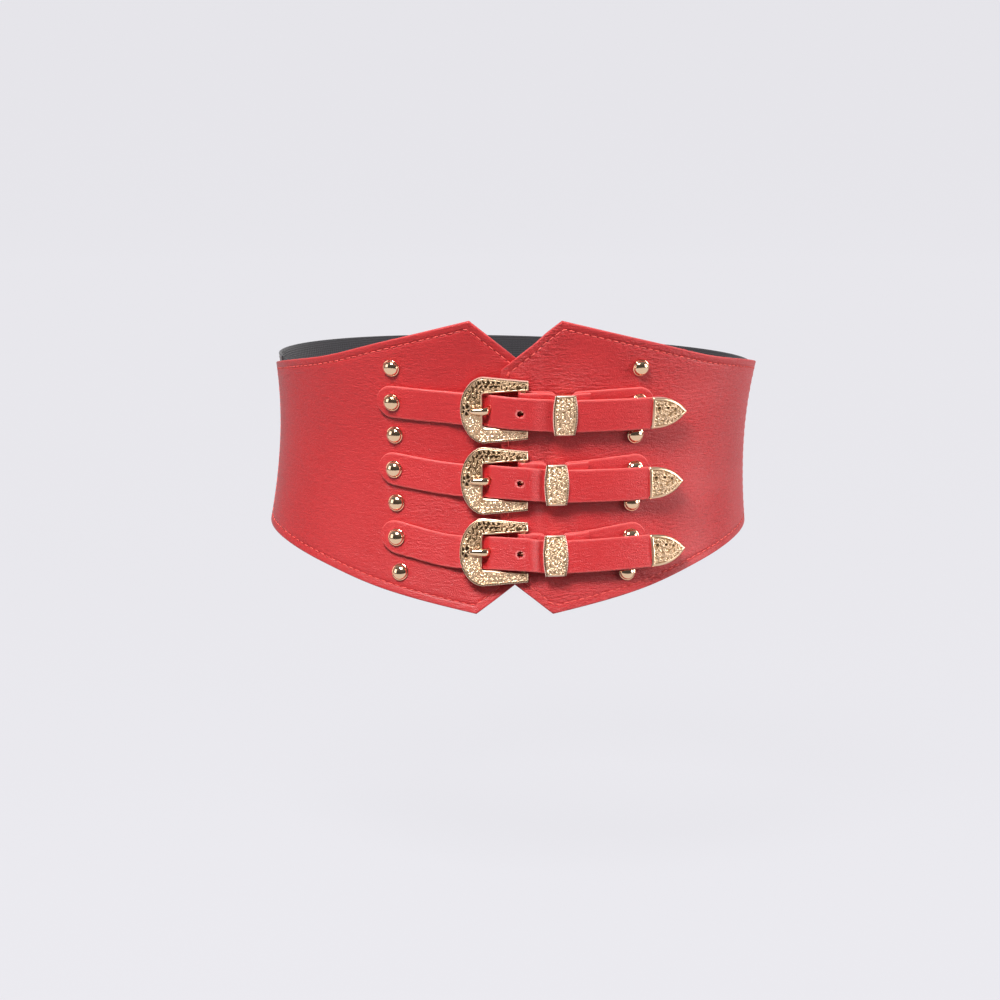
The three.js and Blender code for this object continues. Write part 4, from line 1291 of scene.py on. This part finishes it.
def frame_outline(steps):
    """Outer and inner edge of the upper half, from the arm's end to the rail's middle."""
    curve = RAIL_WIDTH + WINDOW_CORNER
    start = RAIL_OUTER + curve
    arm = np.linspace(ARM_END, start, steps)
    arm_outer = np.interp(
        arm, [start, ARM_END], [BUCKLE_HALF, WINDOW_HALF + ARM_SPREAD + ARM_END_WIDTH]
    )
    arm_inner = WINDOW_HALF + ARM_SPREAD * (arm - RAIL_INNER) / (ARM_END - RAIL_INNER)
    degrees = np.linspace(0, 90, steps + 8)[1:]
    turn = np.radians(degrees)
    slide = np.clip((degrees - 30) / 60, 0, 1)
    corner = np.clip(degrees / 30, 0, 1) * math.pi / 2
    outer = np.stack([
        np.concatenate([arm, start - curve * np.sin(turn)]),
        np.concatenate([arm_outer, BUCKLE_HALF * np.cos(turn)]),
    ], axis=1)
    inner = np.stack([
        np.concatenate([arm, RAIL_INNER + WINDOW_CORNER * (1 - np.sin(corner))]),
        np.concatenate([
            arm_inner, (WINDOW_HALF - WINDOW_CORNER * (1 - np.cos(corner))) * (1 - slide)
        ]),
    ], axis=1)
    return outer, inner


def with_skirt(face, skirt):
    """A grid of values over a casting's face, and the values down its walls beside it."""
    skirt = np.asarray(skirt)
    return np.concatenate([face, np.broadcast_to(skirt, (len(face), skirt.shape[-1]))], axis=1)


half_outer, half_inner = frame_outline(96)
flip = np.array([1, -1])
frame_outer = np.concatenate([half_outer, half_outer[-2::-1] * flip])
frame_inner = np.concatenate([half_inner, half_inner[-2::-1] * flip])
frame_width = np.linalg.norm(frame_outer - frame_inner, axis=1)
middle_line = (frame_outer + frame_inner) / 2
middle_walk = walk_of(middle_line)
FACE_STEPS = 44
share = np.linspace(0, 1, FACE_STEPS)
from_outer = share[None, :] * frame_width[:, None]
from_inner = frame_width[:, None] - from_outer
across = from_outer - frame_width[:, None] / 2
frame_strokes = scrollwork(
    middle_walk[-1], lambda u: np.interp(u, middle_walk, frame_width) - 1.8
)
scroll = raised(middle_walk[:, None], across, frame_strokes)
ends = np.minimum(middle_walk, middle_walk[-1] - middle_walk)[:, None]
inside = smooth((from_outer - BORDER_WIDTH) / 0.35)
inside = inside * smooth((from_inner - INNER_RIM) / GROUND_WALL)
inside = inside * smooth((ends - 0.7) / GROUND_WALL)
rim_round = 0.35 * (
    hump(from_outer, EDGE_BEVEL) + hump(from_inner, EDGE_BEVEL) + hump(ends, EDGE_BEVEL)
)
bead_seat = 0.25 * hump(from_outer - BORDER_WIDTH / 2, 0.35)


def across_frame(shares):
    """Points of the frame's plan at shares of the way from its outer to its inner edge."""
    span = (frame_inner - frame_outer)[:, None, :]
    return frame_outer[:, None, :] + span * shares[None, :, None]


plan = across_frame(share)
# a small five-petalled flower, cut in above the prong's point
flower_across = plan - np.array(FLOWER_PLACE)
flower_reach = np.linalg.norm(flower_across * [1, 0.8], axis=-1)
flower_angle = np.arctan2(flower_across[..., 1], flower_across[..., 0])
petals = hump(flower_reach - PETAL_REACH, 1, 4) * smooth(
    (np.cos(5 * flower_angle + 0.6) + 0.55) / 0.4
)
boss = hump(flower_reach, BOSS_RADIUS, 4)
clearing = smooth((flower_reach - 2.1) / 0.5)
scroll = np.maximum(scroll * clearing, 0.75 * (1 - clearing)) * (1 - petals)
scroll = np.maximum(scroll, boss)
# two rows of small drops, cut into both arms
drops = np.zeros_like(scroll)
for k in range(DROP_COUNT):
    from_window = 4.6 + (1.25 if k % 2 else -1.1)
    for arm in (1, -1):
        drop = [DROP_START + k * DROP_PITCH, arm * (WINDOW_HALF + from_window)]
        away = plan - np.array(drop)
        slant = away[..., 0] + arm * (0.5 if k % 2 else -0.5) * away[..., 1]
        reach = (slant / DROP_LENGTH) ** 2 + (away[..., 1] / DROP_WIDTH) ** 2
        drops = np.maximum(drops, hump(reach, 1))
scroll = scroll * (1 - drops)
# painted shade: the upper arm's cuts and sunk ground are painted darker than the lower arm's,
# which stay nearly clean
upper_arm_shade = smooth((plan[..., 1] + 7) / 16)
cuts = np.maximum(petals, 0.85 * drops * upper_arm_shade) * inside
frame_face = (
    FRAME_TOP - FRAME_DOME * (1 - share[None, :]) ** DOME_POWER - rim_round - bead_seat
    - inside * (GROUND_DEPTH - SCROLL_HEIGHT * scroll)
    - inside * (FLOWER_DEPTH * petals + DROP_DEPTH * drops)
)
valleys = inside * (1 - np.clip(scroll * SCROLL_FILL - 0.22 * upper_arm_shade, 0, 1))
frame_relief = (1 - valleys * (0.4 + 1.3 * upper_arm_shade)) * (1 - cuts) - cuts
frame_relief -= BEAD_GROOVE * hump(from_outer - BORDER_WIDTH / 2, 0.42, 4)
# a painted highlight along the outer edge
frame_relief += EDGE_HIGHLIGHT * hump(from_outer, 0.42, 4)
# down the inner wall, under the frame and up the outer wall
side_share = np.array([1.0, 1.0, 0.985, 0.5, 0.015, 0.0, 0.0])
side_lift = [
    FRAME_TOP - 0.9, FRAME_BOTTOM + 0.3, FRAME_BOTTOM, FRAME_BOTTOM,
    FRAME_BOTTOM, FRAME_BOTTOM + 0.3, FRAME_TOP - FRAME_DOME - 0.9,
]
section = across_frame(np.concatenate([share, side_share]))
lifts = with_skirt(frame_face, side_lift)
# the walls are painted with a pale highlight
relief = with_skirt(frame_relief, np.full(len(side_share), WALL_HIGHLIGHT))

for row in rows:
    points = on_belt(section[..., 0], row.buckle + section[..., 1], lifts, row.buckle)
    piece = make_piece(
        "frame_" + row.name + "_casting", points, tube_faces(*lifts.shape), cast_gold,
        {"relief": relief}, crease=50,
    )
    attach(piece, "root")
    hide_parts("buckle_frame_" + row.name)

    reach = WINDOW_HALF + ARM_SPREAD + ARM_END_WIDTH / 2
    turns = np.arange(BAR_SIDES) * 2 * math.pi / BAR_SIDES
    stops = np.linspace(-reach, reach, 3)
    rod = on_belt(
        BAR + BAR_RADIUS * np.cos(turns), row.buckle + stops[:, None],
        BAR_LIFT + BAR_RADIUS * np.sin(turns), row.buckle,
    )
    bar = make_piece(
        "frame_" + row.name + "_bar", rod, tube_faces(*rod.shape[:2]), cast_gold,
        {"relief": np.full(rod.shape[:2], BAR_SHADE)},
    )
    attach(bar, "root")

    bead_line = frame_outer - unit(frame_outer - frame_inner) * BEAD_INSET
    bead_share = BEAD_INSET / frame_width
    bead_lift = FRAME_TOP - FRAME_DOME * (1 - bead_share) ** DOME_POWER - 0.22
    path = on_belt(bead_line[:, 0], row.buckle + bead_line[:, 1], bead_lift, row.buckle)
    out = directions(bead_line[:, 0], row.buckle)[2]
    beads = set_along(
        "frame_" + row.name + "_beading", [path], [out], polished_gold,
        Pitch=BEAD_PITCH, Length=BEAD_LENGTH, Width=BEAD_WIDTH, Height=FRAME_BEAD_HEIGHT,
    )
    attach(beads, "root")

# THE PRONGS
# A round rod with one end flattened and rolled round the bar. It runs under the strap,
# comes up through its slot and rests on the rail.
for row in rows:
    loop_radius = BAR_RADIUS + CLEARANCE + PRONG_LOOP_THICKNESS / 2
    loop = np.radians(np.linspace(150, -90, 25))
    stops = [
        (
            BAR + loop_radius * math.cos(turn), BAR_LIFT + loop_radius * math.sin(turn),
            PRONG_LOOP_THICKNESS / 2, PRONG_RADIUS,
        )
        for turn in loop
    ]
    points, faces = rod_along(stops + PRONG_STOPS, row)
    prong = make_piece(
        "prong_" + row.name + "_rod", points, faces, polished_gold,
        {"relief": np.full(len(points), 0.95)}, crease=60,
    )
    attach(prong, "root")
    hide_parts("prong_" + row.name)

# THE KEEPERS
# A barrel-shaped cast plate on a plain loop. The plate's sides are beaded, and its sunk
# ground is filled with small scrolls.
KEEPER_DOME = 0.55
KEEPER_BEAD_INSET = 0.55
KEEPER_BEAD_HEIGHT = 0.6
SUNK_DEPTH = 0.5
SUNK_SCROLL = 0.46
for row in rows:
    low = row.keeper_height - STRAP_HALF - CLEARANCE
    high = row.keeper_height + TAB_OFFSET + STRAP_HALF + CLEARANCE
    middle = (low + high) / 2
    half = (high - low) / 2 + KEEPER_WALL
    inside_lift = STRAP_IN_KEEPER + STRAP_CLEAR
    up_share = np.linspace(-1, 1, 96)
    width = KEEPER_WIDTH + (KEEPER_END_WIDTH - KEEPER_WIDTH) * up_share**2
    share = np.linspace(0, 1, 60)
    from_left = share[None, :] * width[:, None]
    from_side = np.minimum(from_left, width[:, None] - from_left)
    from_end = half * (1 - np.abs(up_share))[:, None]
    across = from_left - width[:, None] / 2
    strokes = scrollwork(2 * half - 2.4, lambda u: KEEPER_WIDTH - 2.6)
    scroll = raised((up_share * half)[:, None] + half - 1.2, across, strokes)
    sunk = smooth((from_side - 1.15) / GROUND_WALL) * smooth((from_end - 0.9) / GROUND_WALL)
    plate = inside_lift + KEEPER_PLATE_THICKNESS
    crown = KEEPER_DOME * (1 - (2 * share[None, :] - 1) ** 2)
    bend = KEEPER_CROWN * (up_share**2)[:, None]
    edge = 0.35 * (hump(from_side, EDGE_BEVEL) + hump(from_end, EDGE_BEVEL))
    seat = 0.22 * hump(from_side - KEEPER_BEAD_INSET, 0.35)
    face = plate - KEEPER_DOME + crown - bend - edge - seat
    face = face - sunk * (SUNK_DEPTH - SUNK_SCROLL * scroll)
    # painted shade: the sunk ground is painted darker towards the top of the plate
    wear_and_shade = 0.88 + 0.16 * up_share[:, None]
    relief = 1 - sunk * (1 - np.clip(scroll * SCROLL_FILL, 0, 1)) * wear_and_shade
    # a painted highlight along the plate's edges
    relief += EDGE_HIGHLIGHT * hump(np.minimum(from_side, from_end), 0.42, 4)
    skirt_share = np.array([1.0, 1.0, 0.97, 0.5, 0.03, 0.0, 0.0])
    skirt_lift = [
        plate - 1.2, inside_lift + 0.1, inside_lift, inside_lift, inside_lift,
        inside_lift + 0.1, plate - 1.2,
    ]
    section = np.concatenate([share, skirt_share])
    reach = row.keeper + (section[None, :] - 0.5) * width[:, None]
    lifts = with_skirt(face, skirt_lift)
    points = on_belt(reach, middle + (up_share * half)[:, None], lifts, middle)
    # the walls are painted with a pale highlight
    relief = with_skirt(relief, np.full(len(skirt_share), WALL_HIGHLIGHT))
    keeper = make_piece(
        "keeper_" + row.name + "_plate", points, tube_faces(*reach.shape), cast_gold,
        {"relief": relief}, crease=50,
    )
    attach(keeper, "root")
    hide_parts("keeper_" + row.name)

    # the loop under the plate: a flat band round the strap and the tab
    foot = REST_GAP
    corner = 0.7
    outline = []
    for x, z, start in (
        (-half, foot, math.pi), (half, foot, 1.5 * math.pi),
        (half, inside_lift + 0.15, 0), (-half, inside_lift + 0.15, 0.5 * math.pi),
    ):
        for turn in np.linspace(start, start + math.pi / 2, 5):
            outline.append((
                x - math.copysign(corner, x) + corner * math.cos(turn),
                z + (corner if z == foot else -corner) + corner * math.sin(turn),
            ))
    outline = np.array(outline)
    centre_lift = (foot + inside_lift) / 2
    shrink = np.array([1 - KEEPER_WALL / half, 1 - 2 * KEEPER_WALL / (inside_lift - foot)])
    inner = (outline - [0, centre_lift]) * shrink + [0, centre_lift]
    loop_points = np.concatenate([
        np.column_stack([np.full(len(ring), row.keeper + side * KEEPER_LOOP_WIDTH / 2), ring])
        for side, ring in ((-1, outline), (1, outline), (1, inner), (-1, inner))
    ])
    count = len(outline)
    loop_faces = []
    for band in range(4):
        a = band * count
        b = ((band + 1) % 4) * count
        for k in range(count):
            n = (k + 1) % count
            loop_faces.append((a + k, a + n, b + n, b + k))
    points = on_belt(
        loop_points[:, 0], middle + loop_points[:, 1], loop_points[:, 2], middle
    )
    loop = make_piece(
        "keeper_" + row.name + "_loop", points, loop_faces, polished_gold,
        {"relief": np.full(len(points), 0.85)},
    )
    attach(loop, "root")

    paths = []
    outs = []
    for side in (-1, 1):
        line = row.keeper + side * (width / 2 - KEEPER_BEAD_INSET)
        level = middle + up_share * half * 0.97
        lift = plate - 0.3 - KEEPER_CROWN * up_share**2
        paths.append(on_belt(line, level, lift, middle))
        outs.append(directions(line, middle)[2])
    beads = set_along(
        "keeper_" + row.name + "_beading", paths, outs, polished_gold,
        Pitch=BEAD_PITCH, Length=BEAD_LENGTH, Width=BEAD_WIDTH, Height=KEEPER_BEAD_HEIGHT,
    )
    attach(beads, "root")

# THE STRAP TIPS
# A pointed cast cap crimped over the end of each strap, with a smooth raised rim round a
# sunk ground of scrolls.
TIP_CROWN = 0.7
TIP_FULLNESS = 2.3
TIP_CUTS = [
    # from the base, up from the middle, half height of a small dark petal
    (3.2, 2.9, 0.75),
    (8.4, 2.7, 0.65),
    (12.6, 1.9, 0.5),
]
for row in rows:
    centre = STRAP_OVER_STUD
    run = np.concatenate([np.linspace(0, 0.9, 90), 1 - np.geomspace(0.09, 0.004, 16)])
    width = TIP_WIDTH * (1 - run**TIP_FULLNESS)
    along = TIP_START + TIP_LENGTH * (1.18 * run - 0.18 * run**2)
    share = np.linspace(0, 1, 76)
    across = (share[None, :] - 0.5) * width[:, None]
    thick = TIP_HALF_THICKNESS * (1 - 0.55 * run**3)
    slope = np.abs(np.gradient(width / 2, along))
    from_edge = (width[:, None] / 2 - np.abs(across)) / np.sqrt(1 + slope**2)[:, None]
    from_base = (along - TIP_START)[:, None]
    strokes = scrollwork(TIP_LENGTH - 4.0, lambda u: max(2.0, 14.0 * (1 - (u / 19.0) ** 2)))
    scroll = raised(from_base - 1.3, across, strokes)
    sunk = smooth((from_edge - 1.25) / GROUND_WALL) * smooth((from_base - 1.1) / GROUND_WALL)
    crown = TIP_CROWN * (1 - (2 * share[None, :] - 1) ** 2)
    edge = 0.4 * (hump(from_edge, 0.35) + hump(from_base, EDGE_BEVEL))
    face = centre + thick[:, None] - TIP_CROWN + crown - edge
    face = face - sunk * (SUNK_DEPTH - SUNK_SCROLL * scroll)
    # painted shade: the sunk ground is painted darker towards the top of the tip
    wear_and_shade = 0.9 + 0.4 * smooth(0.5 + across / TIP_WIDTH * 1.6)
    relief = 1 - sunk * (1 - np.clip(scroll * SCROLL_FILL, 0, 1)) * wear_and_shade
    # a painted highlight along the tip's edges
    relief += EDGE_HIGHLIGHT * hump(np.minimum(from_edge, from_base), 0.6, 4)
    for from_start, up, size in TIP_CUTS:
        reach = np.hypot((from_base - from_start) / 1.5, across - up)
        relief = np.minimum(relief, 1 - 2 * sunk * hump(reach, size, 4))
    skirt_share = np.array([1.0, 1.0, 0.96, 0.5, 0.04, 0.0, 0.0])
    skirt_drop = np.array([0.45, -0.6, -1.0, -1.0, -1.0, -0.6, 0.45])
    section = np.concatenate([share, skirt_share])
    lifts = with_skirt(face, centre + thick[:, None] * skirt_drop)
    # the walls are painted with a pale highlight
    relief = with_skirt(relief, np.full(len(skirt_share), WALL_HIGHLIGHT))
    line = row.strap_height(along)[:, None]
    level = line + (section[None, :] - 0.5) * width[:, None]
    points = on_belt(along[:, None], level, lifts, line)
    tip = make_piece(
        "strap_tip_" + row.name + "_cap", points, tube_faces(*level.shape), cast_gold,
        {"relief": relief}, crease=50,
    )
    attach(tip, "root")
    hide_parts("strap_tip_" + row.name)
